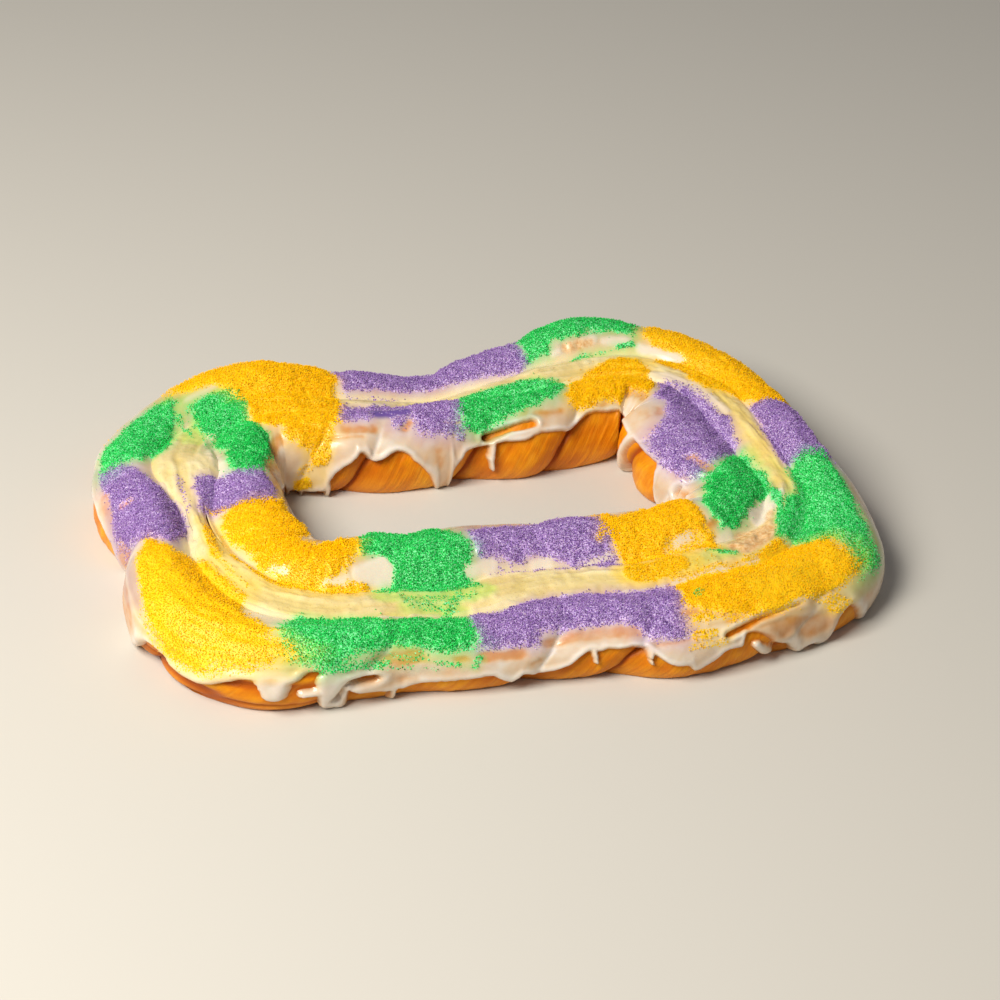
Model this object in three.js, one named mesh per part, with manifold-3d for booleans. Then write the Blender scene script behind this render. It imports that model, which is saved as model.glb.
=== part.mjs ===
// A king cake: a soft twisted dough ring laid out as a rounded rectangle, with cream filling along the
// groove in its top, two bands of poured icing that run down its inner and outer sides, and coarse
// sugar in purple, green and gold.
// Units are millimetres, +Z is up, and the origin is under the middle of the cake, on the surface that
// it rests on.
import * as THREE from "three";
import { mergeVertices } from "three/addons/utils/BufferGeometryUtils.js";
import Module from "manifold-3d";

const wasm = await Module();
wasm.setup();

// ---- Driving dimensions ----
const LEG_SPACING_X = 330; // between the middles of the left and right legs
const LEG_SPACING_Y = 203; // between the middles of the front and back legs
const CORNER_RADIUS = 60; // of the ring's middle line
const RING_MIDDLE = [7.3, 9.3]; // the middle line's centre, so that the footprint's middle is the origin

const HALF_WIDTH = 59; // of a leg, from its middle line to its widest point
const CREST_HEIGHT = 44; // top of the two shoulders
const CREST_OFFSET = 0.55; // crest's place, as a share of the half-width
const WIDEST_HEIGHT = 0.36; // height of the widest point, as a share of the crest's height
const TUCK = 6; // how far the base is drawn in below the widest point
const FULLNESS = 2.3; // superellipse exponent of the shoulders
const GROOVE_DEPTH = 12; // below the lower shoulder

const CREAM_HALF_WIDTH = 14; // before the swells widen or narrow it
const CREAM_RISE = 8; // above the groove's floor
const CREAM_CROWN = 3; // how much the cream's middle stands above its edges
const CREAM_LEAST_EDGE = 1.5; // how far at least its edges stand above the dough

const ICING_THICKNESS = 1.8;
const SUGAR_THICKNESS = 1.4;
const CLEARANCE = 0.3; // kept between neighbouring solids
const STATION_SPACING = 7.8; // between the sections that the solids are made from

// Places on a section run from 0 at the base edge, past the widest point and the crest, to 1 at the
// groove's middle.
const WIDEST = 0.17;
const CREST = 0.65;

// Stations are measured along the middle line, anticlockwise from the middle of the front leg.
// Each swell moves, round its station, the groove outwards, the outer and inner faces off the middle
// line, the two crests up and the cream's edges apart.
const SWELL_REACH = 36;
const SWELLS = [
  { at: 0, groove: 4, out: 7, in: -1, outer: -10, inner: -4, cream: 0 }, // middle of the front leg
  { at: 55, groove: 13, out: 21, in: -3, outer: -9, inner: -6, cream: 0 }, // the front leg bows out
  { at: 105, groove: 8, out: 14, in: -5, outer: -6, inner: -4, cream: -1 },
  { at: 152, groove: 6, out: 15, in: -2, outer: -9, inner: -2, cream: -3 }, // front right corner
  { at: 199, groove: 4, out: -12, in: -7, outer: 2, inner: -4, cream: -3 },
  { at: 240, groove: 3, out: -7, in: 6, outer: 5, inner: -1, cream: -2 }, // right leg
  { at: 281, groove: 1, out: -8, in: 4, outer: -1, inner: 0, cream: 1 },
  { at: 328, groove: -2, out: -7, in: -1, outer: 1, inner: 0, cream: -1 }, // back right corner
  { at: 375, groove: -3, out: -6, in: -2, outer: 10, inner: 0, cream: -2 }, // the highest shoulder
  { at: 428, groove: -4, out: -8, in: 7, outer: -4, inner: 0, cream: -3 },
  { at: 480, groove: -1, out: -15, in: -1, outer: -14, inner: 0, cream: -4 }, // waist of the back leg
  { at: 532, groove: 3, out: -2, in: 1, outer: -7, inner: 0, cream: -4 },
  { at: 585, groove: 5, out: 5, in: -14, outer: 3, inner: 0, cream: -2 },
  { at: 633, groove: 5, out: 0, in: -4, outer: -6, inner: 0, cream: -3 }, // back left corner
  { at: 680, groove: 2, out: 5, in: -5, outer: 1, inner: 0, cream: 10 },
  { at: 721, groove: 8, out: -8, in: -8, outer: 2, inner: -1, cream: -10 }, // left leg
  { at: 762, groove: 8, out: 3, in: -1, outer: 3, inner: 0, cream: -2 },
  { at: 809, groove: 9, out: 16, in: -2, outer: -1, inner: 2, cream: 0 }, // front left corner
  { at: 856, groove: 5, out: -7, in: 3, outer: -4, inner: 2, cream: 0 },
  { at: 908, groove: 7, out: 3, in: -1, outer: -11, inner: -1, cream: 0 }, // low outer shoulder
];

// Creases where one strand of the twist passes under the next, by the station of each one's foot.
const CREASES = {
  outer: [13, 100, 148, 223, 262, 318, 381, 440, 499, 641, 718, 780, 833, 927],
  inner: [40, 108, 165, 231, 278, 330, 376, 430, 487, 556, 590, 640, 700, 760, 812, 870, 925],
};
const CREASE_LEAN = 34; // how far a crease runs on, on the inside back, between its foot and the crest
const CREASE_DEPTH = 6;
const CREASE_STEEP = 6; // reach of a crease's steep side
const CREASE_GENTLE = 16; // and of its gentle side
const CREASE_END = 0.9; // the place where the creases have run out
const CREASE_FADE = 0.55; // over how much of the section they run out


// How far down the sides the icing runs: drips take it lower, and bare places, with a negative drop,
// leave it higher.
const ICING_EDGE = { outer: 0.27, inner: 0.36 };
const LEAST_EDGE = 0.06; // the lowest place that a drip reaches
const LIP_OVER = 0.015; // how far the rounded lip runs past the edge
const LIP_STEP = 0.04; // how far it may leave the line between two sections
const LIP_LIFT = 1.2; // its height off the dough
const DRIPS = {
  outer: [
    { at: 14, width: 20, drop: -0.03 },
    { at: 62, width: 24, drop: 0.13 },
    { at: 93, width: 12, drop: -0.05 },
    { at: 116, width: 10, drop: 0.22 },
    { at: 129, width: 7, drop: -0.08 },
    { at: 156, width: 26, drop: 0.20 },
    { at: 206, width: 22, drop: -0.10 },
    { at: 232, width: 10, drop: 0.17 },
    { at: 262, width: 20, drop: -0.08 },
    { at: 290, width: 10, drop: 0.16 },
    { at: 326, width: 14, drop: 0.12 },
    { at: 366, width: 22, drop: -0.12 },
    { at: 396, width: 9, drop: 0.18 },
    { at: 432, width: 16, drop: 0.10 },
    { at: 470, width: 22, drop: -0.10 },
    { at: 506, width: 10, drop: 0.18 },
    { at: 548, width: 24, drop: -0.10 },
    { at: 580, width: 12, drop: 0.16 },
    { at: 624, width: 22, drop: 0.06 },
    { at: 656, width: 10, drop: 0.17 },
    { at: 690, width: 16, drop: -0.06 },
    { at: 733, width: 20, drop: 0.15 },
    { at: 770, width: 14, drop: 0.06 },
    { at: 803, width: 24, drop: 0.05 },
    { at: 838, width: 11, drop: 0.19 },
    { at: 890, width: 44, drop: 0.12 },
    { at: 927, width: 9, drop: 0.20 },
  ],
  inner: [
    { at: 24, width: 10, drop: 0.22 },
    { at: 66, width: 26, drop: -0.06 },
    { at: 100, width: 9, drop: 0.20 },
    { at: 206, width: 14, drop: 0.08 },
    { at: 266, width: 10, drop: 0.32 },
    { at: 302, width: 10, drop: 0.24 },
    { at: 352, width: 24, drop: -0.08 },
    { at: 388, width: 16, drop: -0.03 },
    { at: 459, width: 8, drop: 0.20 },
    { at: 488, width: 12, drop: 0.33 },
    { at: 520, width: 9, drop: 0.03 },
    { at: 538, width: 12, drop: 0.03 },
    { at: 577, width: 16, drop: 0.30 },
    { at: 640, width: 22, drop: 0.06 },
    { at: 690, width: 16, drop: 0.12 },
    { at: 724, width: 9, drop: 0.24 },
    { at: 756, width: 18, drop: -0.06 },
    { at: 884, width: 10, drop: 0.22 },
    { at: 926, width: 24, drop: -0.06 },
  ],
};

// Sugar bands, each from one station to the next.
const SUGAR = {
  outer: [
    { from: 63, to: 143 }, // gold
    { from: 143, to: 203 }, // green
    { from: 203, to: 274 }, // purple
    { from: 276, to: 347 }, // gold
    { from: 350, to: 412 }, // green
    { from: 413, to: 531 }, // purple
    { from: 539, to: 619 }, // gold
    { from: 620, to: 668 }, // green
    { from: 669, to: 746 }, // purple
    { from: 747, to: 824 }, // gold
    { from: 826, to: 905 }, // green
    { from: 906, to: 1023 }, // purple
  ],
  inner: [
    { from: 50, to: 110 }, // gold
    { from: 122, to: 216 }, // green
    { from: 214, to: 314 }, // purple
    { from: 342, to: 402 }, // gold
    { from: 402, to: 471 }, // green
    { from: 472, to: 546 }, // purple
    { from: 546, to: 602 }, // gold
    { from: 612, to: 684 }, // green
    { from: 686, to: 716 }, // purple
    { from: 717, to: 866 }, // gold
    { from: 868, to: 930 }, // green
    { from: 931, to: 1012 }, // purple
  ],
};
const SUGAR_FOOT = 0.36; // where the sugar ends on a section, on the side
const SUGAR_TOP = 0.7; // and beside the cream
const SUGAR_BUMP = 0.7; // how much the sugar's thickness varies
const GRAINS = 28; // clusters of grains that stand out of each icing's sugar
const GRAIN_RADIUS = 1.9;
const GOLDEN = 0.618034; // the golden ratio's share of a turn, which spreads points evenly

const COLOURS = { dough: 0xc9762b, cream: 0xecd9a0, icing: 0xe9e2d8 };

// A fixed series of draws from 0 to 1, the same on every run.
let draw = 7;
function random() {
  draw = (draw * 48271) % 2147483647;
  return draw / 2147483647;
}

// ---- The ring's middle line ----
const STRAIGHT_X = LEG_SPACING_X / 2 - CORNER_RADIUS; // half a leg's straight stretch
const STRAIGHT_Y = LEG_SPACING_Y / 2 - CORNER_RADIUS;
const ARC = (Math.PI / 2) * CORNER_RADIUS;
const [LONG, SHORT] = [2 * STRAIGHT_X, 2 * STRAIGHT_Y];
const STRETCHES = [STRAIGHT_X, ARC, SHORT, ARC, LONG, ARC, SHORT, ARC, STRAIGHT_X];
const LENGTH = STRETCHES.reduce((sum, length) => sum + length, 0);

const wrap = (station) => ((station % LENGTH) + LENGTH) % LENGTH;
// The shortest signed way along the ring from one station to another.
const ahead = (station, from) => wrap(station - from + LENGTH / 2) - LENGTH / 2;
const mix = (a, b, share) => a + (b - a) * share;
const clamp01 = (value) => Math.min(Math.max(value, 0), 1);
const smooth = (share) => (1 - Math.cos(Math.PI * clamp01(share))) / 2;

// The place on the middle line, and the direction out of the ring there.
function spine(station) {
  let left = wrap(station);
  let [x, y] = [RING_MIDDLE[0], RING_MIDDLE[1] - LEG_SPACING_Y / 2];
  let heading = 0;
  STRETCHES.forEach((length, i) => {
    const step = Math.min(left, length);
    if (i % 2) {
      const next = heading + step / CORNER_RADIUS;
      x += CORNER_RADIUS * (Math.sin(next) - Math.sin(heading));
      y += CORNER_RADIUS * (Math.cos(heading) - Math.cos(next));
      heading = next;
    } else {
      x += Math.cos(heading) * step;
      y += Math.sin(heading) * step;
    }
    left -= step;
  });
  return { x, y, out: [Math.sin(heading), -Math.cos(heading)] };
}

// ---- The dough's section at a station ----
// Widths are measured from the middle of the groove, which holds the cream.
function section(station) {
  const line = spine(station);
  const sum = { groove: 0, out: 0, in: 0, outer: 0, inner: 0, cream: 0 };
  for (const swell of SWELLS) {
    const share = Math.exp(-((ahead(station, swell.at) / SWELL_REACH) ** 2));
    for (const key in sum) sum[key] += share * swell[key];
  }
  const outer = {
    width: HALF_WIDTH + sum.out - sum.groove,
    crest: CREST_HEIGHT + sum.outer,
  };
  const inner = {
    width: HALF_WIDTH + sum.in + sum.groove,
    crest: CREST_HEIGHT + sum.inner,
  };
  const groove = Math.min(outer.crest, inner.crest) - GROOVE_DEPTH;
  const cream = CREAM_HALF_WIDTH + sum.cream;
  return { station, line, shift: sum.groove, outer, inner, groove, cream };
}

// How far the twist's creases draw the surface in at a place on one side of the section.
function creaseDepth({ station }, side, place) {
  const turn = side === "outer" ? 1 : -1;
  let depth = 0;
  for (const at of CREASES[side]) {
    const off = turn * ahead(station, at) - CREASE_LEAN * (place / CREST);
    depth += CREASE_DEPTH * Math.exp(-Math.abs(off) / (off < 0 ? CREASE_STEEP : CREASE_GENTLE));
  }
  return depth * smooth((CREASE_END - place) / CREASE_FADE);
}

// A point of one side of the plain section as [distance from the groove's middle, height].
function sidePoint(shape, side, place) {
  const { width, crest } = shape[side];
  const widest = WIDEST_HEIGHT * crest;
  const crestAt = CREST_OFFSET * width;
  if (place < WIDEST) {
    const angle = (Math.PI / 2) * (place / WIDEST);
    return [width - TUCK * (1 - Math.sin(angle)), widest * (1 - Math.cos(angle))];
  }
  if (place < CREST) {
    const angle = (Math.PI / 2) * ((place - WIDEST) / (CREST - WIDEST));
    return [
      crestAt + (width - crestAt) * Math.cos(angle) ** (2 / FULLNESS),
      widest + (crest - widest) * Math.sin(angle) ** (2 / FULLNESS),
    ];
  }
  const share = (place - CREST) / (1 - CREST);
  return [crestAt * (1 - share), mix(crest, shape.groove, smooth(share))];
}

// A point at a distance from the groove's middle towards one side, and a height.
function pointAt({ line, shift }, side, distance, height) {
  const out = (side === "outer" ? distance : -distance) + shift;
  return [line.x + line.out[0] * out, line.y + line.out[1] * out, height];
}

// A point on the creased dough, or lifted off it.
function doughPoint(shape, side, place, lift = 0) {
  const before = sidePoint(shape, side, Math.max(place - 0.01, 0));
  const after = sidePoint(shape, side, Math.min(place + 0.01, 1));
  const run = Math.hypot(after[0] - before[0], after[1] - before[1]);
  const push = lift - creaseDepth(shape, side, place);
  const [distance, height] = sidePoint(shape, side, place);
  const out = distance + ((after[1] - before[1]) / run) * push;
  const up = height + ((before[0] - after[0]) / run) * push;
  const least = lift > 0 ? shape.cream + CLEARANCE : 0; // what lies on the dough stops beside the cream
  return pointAt(shape, side, Math.max(out, least), place > 0 ? Math.max(up, 0.5) : 0);
}

// ---- The rows that the solids are made from ----
// Where the icing ends on one side of the section.
function icingEdge(station, side) {
  let edge = ICING_EDGE[side];
  for (const { at, width, drop } of DRIPS[side]) {
    const off = Math.abs(ahead(station, at)) / width;
    if (off < 1) edge -= drop * Math.sqrt(smooth(1 - off));
  }
  return Math.max(edge, LEAST_EDGE);
}

// The place beside the cream, where the icing stops.
function creamPlace(shape, side) {
  return mix(1, CREST, (shape.cream + CLEARANCE) / (CREST_OFFSET * shape[side].width));
}

// The dough's rows on one side. The icing covers those from EDGE_ROW to CREAM_ROW, and its underside
// uses the same ones, so that the two keep their distance everywhere.
const EDGE_ROW = 3;
const CREST_ROW = 6;
const CREAM_ROW = 7;
function doughPlaces(shape, side) {
  const edge = icingEdge(shape.station, side);
  const bare = [0, 0.4 * edge, 0.75 * edge];
  const iced = [edge, mix(edge, CREST, 0.35), mix(edge, CREST, 0.7), CREST];
  return [...bare, ...iced, creamPlace(shape, side), 1];
}

// A row runs right round the ring. Its level rises from the outer base over the top to the inner base,
// and tells which way the facets between two rows are split.
function doughRow(side, number, lift = 0) {
  const level = side === "outer" ? number : 2 * (CREAM_ROW + 1) - number;
  const at = (shape) => doughPoint(shape, side, doughPlaces(shape, side)[number], lift);
  return { level, number, at };
}

function doughRows(side, first, last, lift) {
  const numbers = Array.from({ length: last - first + 1 }, (_, i) => first + i);
  return numbers.map((number) => doughRow(side, number, lift));
}

// ---- Solids ----
const COUNT = Math.round(LENGTH / STATION_SPACING);
const SPACING = LENGTH / COUNT;
const SECTIONS = Array.from({ length: 2 * COUNT }, (_, i) => section((i * SPACING) / 2));

// A closed solid from rows round the ring, each joined to the next and the last to the first. A fine
// row has twice as many points as the others.
function ringSolid(rows) {
  const points = [];
  const starts = rows.map((row) => {
    const start = points.length;
    const sections = SECTIONS.filter((_, i) => row.fine || i % 2 === 0);
    points.push(...sections.map((shape, i) => row.at(shape, i)));
    return start;
  });
  const triangles = [];
  rows.forEach((row, k) => {
    const m = (k + 1) % rows.length;
    const next = rows[m];
    const low = (i) => starts[k] + (i % (row.fine ? 2 * COUNT : COUNT));
    const high = (i) => starts[m] + (i % (next.fine ? 2 * COUNT : COUNT));
    for (let i = 0; i < COUNT; i++) {
      if (row.fine) {
        const [a, b, c] = [low(2 * i), low(2 * i + 1), low(2 * i + 2)];
        triangles.push(a, b, high(i), b, high(i + 1), high(i), b, c, high(i + 1));
      } else if (next.fine) {
        const [a, b, c] = [high(2 * i), high(2 * i + 1), high(2 * i + 2)];
        triangles.push(low(i), b, a, low(i), low(i + 1), b, low(i + 1), c, b);
      } else if (row.level < next.level) {
        triangles.push(low(i), low(i + 1), high(i + 1), low(i), high(i + 1), high(i));
      } else {
        triangles.push(low(i), low(i + 1), high(i), low(i + 1), high(i + 1), high(i));
      }
    }
  });
  const geometry = new THREE.BufferGeometry();
  geometry.setAttribute("position", new THREE.Float32BufferAttribute(points.flat(), 3));
  geometry.setIndex(triangles);
  return solidOf(geometry);
}

function doughSolid() {
  const rows = doughRows("outer", 0, CREAM_ROW + 1);
  return ringSolid([...rows, ...doughRows("inner", 0, CREAM_ROW).reverse()]);
}

// The height of the cream's foot on one side.
function creamFoot(shape, side) {
  return sidePoint(shape, side, creamPlace(shape, side))[1] + CLEARANCE;
}

function creamEdge(shape, side) {
  return Math.max(shape.groove + CREAM_RISE, creamFoot(shape, side) + CREAM_LEAST_EDGE);
}

function creamSolid() {
  const top = [1, 0.45, -0.45, -1].map((share, i) => ({
    level: i,
    at: (shape) => {
      const level = mix(creamEdge(shape, "inner"), creamEdge(shape, "outer"), (share + 1) / 2);
      return pointAt(shape, "outer", shape.cream * share, level + CREAM_CROWN * (1 - share ** 2));
    },
  }));
  const foot = (side, level) => ({
    level,
    at: (shape) => pointAt(shape, side, shape.cream, creamFoot(shape, side)),
  });
  const floor = { level: 3, at: (shape) => pointAt(shape, "outer", 0, shape.groove + CLEARANCE) };
  return ringSolid([foot("outer", 0), ...top, foot("inner", 4), floor]);
}

function sugarAt(station, side, place) {
  if (place < SUGAR_FOOT || place > SUGAR_TOP) return 0;
  return SUGAR[side].some(({ from, to }) => wrap(station - from) < to - from) ? 1 : 0;
}

// The icing's lip. Between two sections it keeps to the dough's facet, which is straight from one to
// the other, and runs no further down than a small step past the edges at both ends.
function icingTip(station, side, half) {
  const ends = [station - half, station + half];
  const between = (icingEdge(ends[0], side) + icingEdge(ends[1], side)) / 2;
  const edge = Math.max(icingEdge(station, side), between - LIP_STEP);
  const place = Math.max(edge - LIP_OVER, LEAST_EDGE - LIP_OVER);
  const [a, b] = ends.map((near) => doughPoint(section(near), side, place, LIP_LIFT));
  return a.map((value, axis) => (value + b[axis]) / 2);
}

function icingSolid(side) {
  const under = doughRows(side, EDGE_ROW, CREAM_ROW, CLEARANCE);
  const over = under.map(({ level, number }) => ({
    level,
    at: (shape) => {
      const place = doughPlaces(shape, side)[number];
      const sugar = SUGAR_THICKNESS + SUGAR_BUMP * (random() - 0.5);
      return doughPoint(shape, side, place, ICING_THICKNESS + sugar * sugarAt(shape.station, side, place));
    },
  }));
  const tip = { fine: true, at: (shape, i) => icingTip(shape.station, side, i % 2 ? SPACING / 2 : 0) };
  const rows = [tip, ...over, ...under.reverse()];
  return ringSolid(side === "outer" ? rows : rows.reverse());
}

// Clusters of sugar grains, half sunk in the points of the sugar's two upper rows and spread evenly by
// the golden ratio.
function grains(side) {
  const found = [];
  for (let i = 1; found.length < GRAINS; i++) {
    const shape = SECTIONS[2 * (Math.round(i * COUNT * GOLDEN) % COUNT)];
    const place = doughPlaces(shape, side)[CREST_ROW - (i % 2)];
    if (!sugarAt(shape.station, side, place)) continue;
    const grain = new THREE.OctahedronGeometry(GRAIN_RADIUS * mix(0.8, 1.15, random()));
    grain.scale(mix(0.8, 1.15, random()), mix(0.8, 1.15, random()), 0.9);
    grain.rotateZ(random() * Math.PI);
    grain.rotateX(random() * Math.PI);
    grain.translate(...doughPoint(shape, side, place, ICING_THICKNESS + SUGAR_THICKNESS));
    found.push(solidOf(mergeVertices(grain.deleteAttribute("normal").deleteAttribute("uv"))));
  }
  return wasm.Manifold.union(found);
}

function solidOf(geometry) {
  const { position } = geometry.attributes;
  return new wasm.Manifold(
    new wasm.Mesh({
      numProp: 3,
      vertProperties: Float32Array.from(position.array),
      triVerts: Uint32Array.from(geometry.index.array),
    }),
  );
}

// A mesh for one node, from its solid.
function part(name, solid, colour, roughness) {
  const { vertProperties, triVerts } = solid.getMesh();
  const geometry = new THREE.BufferGeometry();
  geometry.setAttribute("position", new THREE.BufferAttribute(vertProperties, 3));
  geometry.setIndex(new THREE.BufferAttribute(triVerts, 1));
  geometry.computeVertexNormals();
  const material = new THREE.MeshStandardMaterial({ color: colour, roughness, metalness: 0 });
  const mesh = new THREE.Mesh(geometry, material);
  mesh.name = name;
  return mesh;
}

const cake = new THREE.Group();
cake.add(part("dough_ring", doughSolid(), COLOURS.dough, 0.55));
cake.add(part("cream_filling", creamSolid(), COLOURS.cream, 0.45));
cake.add(part("icing_outer", icingSolid("outer").add(grains("outer")), COLOURS.icing, 0.35));
cake.add(part("icing_inner", icingSolid("inner").add(grains("inner")), COLOURS.icing, 0.35));

export default cake;
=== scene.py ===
# %% [markdown]
# # A king cake, from dough to sugar
#
# A king cake is a soft sweet dough, twisted and laid out as a ring. A stripe of cream lies in the groove
# along its top, poured icing runs down both of its sides, and coarse sugar in purple, green and gold
# covers the icing in bands. In this lesson each of these is a piece of its own, made over the same ring.
#
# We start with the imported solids. They give the true size and place of everything that we make, and we
# measure them first, before anything is added, to compare the finished pieces with them at the end.

# %% Load the frame
import math

import bmesh
import bpy
import numpy as np
from mathutils import Matrix, Vector


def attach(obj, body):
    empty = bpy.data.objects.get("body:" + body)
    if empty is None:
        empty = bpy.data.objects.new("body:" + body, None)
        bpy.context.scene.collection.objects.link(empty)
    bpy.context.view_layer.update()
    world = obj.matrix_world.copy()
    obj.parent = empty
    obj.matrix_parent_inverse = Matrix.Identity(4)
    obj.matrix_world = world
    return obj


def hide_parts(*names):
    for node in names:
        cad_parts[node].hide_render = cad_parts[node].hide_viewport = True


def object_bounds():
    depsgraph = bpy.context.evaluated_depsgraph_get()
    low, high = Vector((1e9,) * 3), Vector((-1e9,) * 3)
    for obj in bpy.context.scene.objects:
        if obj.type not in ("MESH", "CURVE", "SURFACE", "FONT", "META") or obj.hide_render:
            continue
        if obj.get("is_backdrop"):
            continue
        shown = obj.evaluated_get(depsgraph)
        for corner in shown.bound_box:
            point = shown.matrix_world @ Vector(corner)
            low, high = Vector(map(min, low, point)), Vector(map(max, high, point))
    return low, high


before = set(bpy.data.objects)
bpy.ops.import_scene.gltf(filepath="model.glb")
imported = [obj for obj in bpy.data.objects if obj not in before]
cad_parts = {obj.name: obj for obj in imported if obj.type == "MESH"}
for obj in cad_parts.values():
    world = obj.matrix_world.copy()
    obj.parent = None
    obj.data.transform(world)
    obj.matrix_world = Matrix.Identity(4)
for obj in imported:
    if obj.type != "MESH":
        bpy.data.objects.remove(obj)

solid_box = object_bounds()
print("solids:", sorted(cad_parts))

# %% [markdown]
# ## The ring
#
# The ring is easiest to describe unrolled. A *station* is a distance along its middle line, in
# millimetres, anticlockwise from the middle of the front leg. A *height on the skin* runs across it: 0
# is the outer base edge, 1 is the middle of the groove and 2 is the inner base edge. Everything below is
# written as a function of these two numbers, so dough, icing, cream and sugar always fit together. A
# *place* is the same height counted on one side only, 0 at its base edge and 1 in the groove.
# The sizes are the ones that the solids were made from, in millimetres.

# %% Sizes of the ring
MM = 0.001
LEG_SPACING_X, LEG_SPACING_Y = 330.0, 203.0  # between the middle lines of opposite legs
CORNER_RADIUS = 60.0
RING_MIDDLE = (7.3, 9.3)
HALF_WIDTH = 59.0  # from the middle line to the widest point of a side
CREST_HEIGHT = 44.0
CREST_OFFSET = 0.55  # the crest's distance from the groove, as a share of the half width
WIDEST_HEIGHT = 0.36  # the height of the widest point, as a share of the crest's
TUCK = 6.0  # how far the side draws in from there to its base
FULLNESS = 2.3  # 2 makes a round shoulder, and more a fuller one
GROOVE_DEPTH = 12.0
CREAM_HALF_WIDTH, CREAM_CROWN = 14.0, 3.0
CREAM_RISE, CREAM_LEAST_EDGE = 8.0, 1.5  # its edges over the groove, and at least over the dough there
WIDEST, CREST = 0.17, 0.65  # the places of the widest point and of the crest
SKIN = 95.0  # across the skin from a base edge to the middle of the groove
SIDES = {"outer": 1, "inner": -1}  # and which way each one faces

# Where the ring swells or thins, and how far along it each row reaches: station, groove outwards, outer
# and inner face off the middle line, outer and inner crest up, wider cream.
SWELL_REACH = 36.0
SWELLS = [
    (0, 4, 7, -1, -10, -4, 0), (55, 13, 21, -3, -9, -6, 0), (105, 8, 14, -5, -6, -4, -1),
    (152, 6, 15, -2, -9, -2, -3), (199, 4, -12, -7, 2, -4, -3), (240, 3, -7, 6, 5, -1, -2),
    (281, 1, -8, 4, -1, 0, 1), (328, -2, -7, -1, 1, 0, -1), (375, -3, -6, -2, 10, 0, -2),
    (428, -4, -8, 7, -4, 0, -3), (480, -1, -15, -1, -14, 0, -4), (532, 3, -2, 1, -7, 0, -4),
    (585, 5, 5, -14, 3, 0, -2), (633, 5, 0, -4, -6, 0, -3), (680, 2, 5, -5, 1, 0, 10),
    (721, 8, -8, -8, 2, -1, -10), (762, 8, 3, -1, 3, 0, -2), (809, 9, 16, -2, -1, 2, 0),
    (856, 5, -7, 3, -4, 2, 0), (908, 7, 3, -1, -11, -1, 0),
]

print(f"{len(SWELLS)} swells round the ring")


# %% Small helpers
def mix(a, b, share):
    return a + (b - a) * share


def clamp01(value):
    return np.clip(value, 0.0, 1.0)


def smooth(share):
    return (1 - np.cos(np.pi * clamp01(share))) / 2


def bump(distance, reach):
    """From 1 where the distance is nothing to 0 well past the reach."""
    return np.exp(-((distance / reach) ** 2))


print("halfway along its reach a bump is still", round(float(bump(0.5, 1.0)), 2))

# %% The middle line
STRAIGHT_X = LEG_SPACING_X / 2 - CORNER_RADIUS
STRAIGHT_Y = LEG_SPACING_Y / 2 - CORNER_RADIUS
ARC = math.pi / 2 * CORNER_RADIUS
STRETCHES = [STRAIGHT_X, ARC, 2 * STRAIGHT_Y, ARC, 2 * STRAIGHT_X, ARC, 2 * STRAIGHT_Y, ARC, STRAIGHT_X]
LENGTH = sum(STRETCHES)


def ahead(station, start):
    """The shortest signed way along the ring from start to station."""
    return np.mod(station - start + LENGTH / 2, LENGTH) - LENGTH / 2


def middle_line(station):
    """The place on the middle line and the direction out of the ring."""
    left = np.mod(np.asarray(station, float), LENGTH)
    x = np.full_like(left, RING_MIDDLE[0])
    y = np.full_like(left, RING_MIDDLE[1] - LEG_SPACING_Y / 2)
    heading = np.zeros_like(left)
    for i, length in enumerate(STRETCHES):
        step = np.minimum(left, length)
        if i % 2:
            turned = heading + step / CORNER_RADIUS
            x = x + CORNER_RADIUS * (np.sin(turned) - np.sin(heading))
            y = y + CORNER_RADIUS * (np.cos(heading) - np.cos(turned))
            heading = turned
        else:
            x = x + np.cos(heading) * step
            y = y + np.sin(heading) * step
        left = left - step
    return x, y, np.sin(heading), -np.cos(heading)


print(f"the middle line is {LENGTH:.0f} mm long")

# %% [markdown]
# ## Uneven hills
#
# Food is never regular. We need smooth random hills that join up again after one turn round the ring,
# and that can be stretched one way, because dough wrinkles run along its strands. Blender's own noise
# doesn't know our unrolled ring, so we draw random numbers on a small lattice, always the same ones, and
# blend between them. Big and small hills added up make a surface that looks natural, so each relief
# below is a short list of such layers.

# %% Random hills on the skin
LATTICE_WIDTH = 260.0  # millimetres across the skin that the lattice covers
LATTICE_MARGIN = 20.0  # how much of that lies below the outer base edge


def hills(seed, along, across, size, stretch=1.0):
    """Random heights from -1 to 1, with hills of one size along the ring and stretch times it across."""
    count = max(3, round(LENGTH / size))
    rows = int(LATTICE_WIDTH / (size * stretch)) + 3
    lattice = np.random.default_rng(seed).uniform(-1, 1, (count, rows))
    along, across = np.broadcast_arrays(along, across)
    x = np.mod(along / LENGTH, 1.0) * count
    y = np.clip((across + LATTICE_MARGIN) / (size * stretch), 0, rows - 1.001)
    i, j = np.floor(x).astype(int), np.floor(y).astype(int)
    u, w = x - i, y - j
    u, w = u * u * (3 - 2 * u), w * w * (3 - 2 * w)
    a, b = lattice[i % count, j], lattice[(i + 1) % count, j]
    c, d = lattice[i % count, j + 1], lattice[(i + 1) % count, j + 1]
    return mix(mix(a, b, u), mix(c, d, u), w)


def layers(rows, along, across, base=0.0):
    """Hills added up. Each row is how high they are, a seed, their size and perhaps a stretch."""
    for high, seed, *size_and_stretch in rows:
        base = base + high * hills(seed, along, across, *size_and_stretch)
    return base


print(f"hills of 15 mm repeat {round(LENGTH / 15)} times round the ring")

# %% [markdown]
# ## The dough's shape
#
# On the real cake two or three strands are twisted together, so the sides show slanting folds where one
# strand dives under the next. Twisting real strands would give loose tubes that have to be joined again.
# So we shape one skin instead: its section is two round shoulders with a groove between them, the swells
# above make each stretch of it fuller or slimmer, and the folds draw the surface in.

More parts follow.
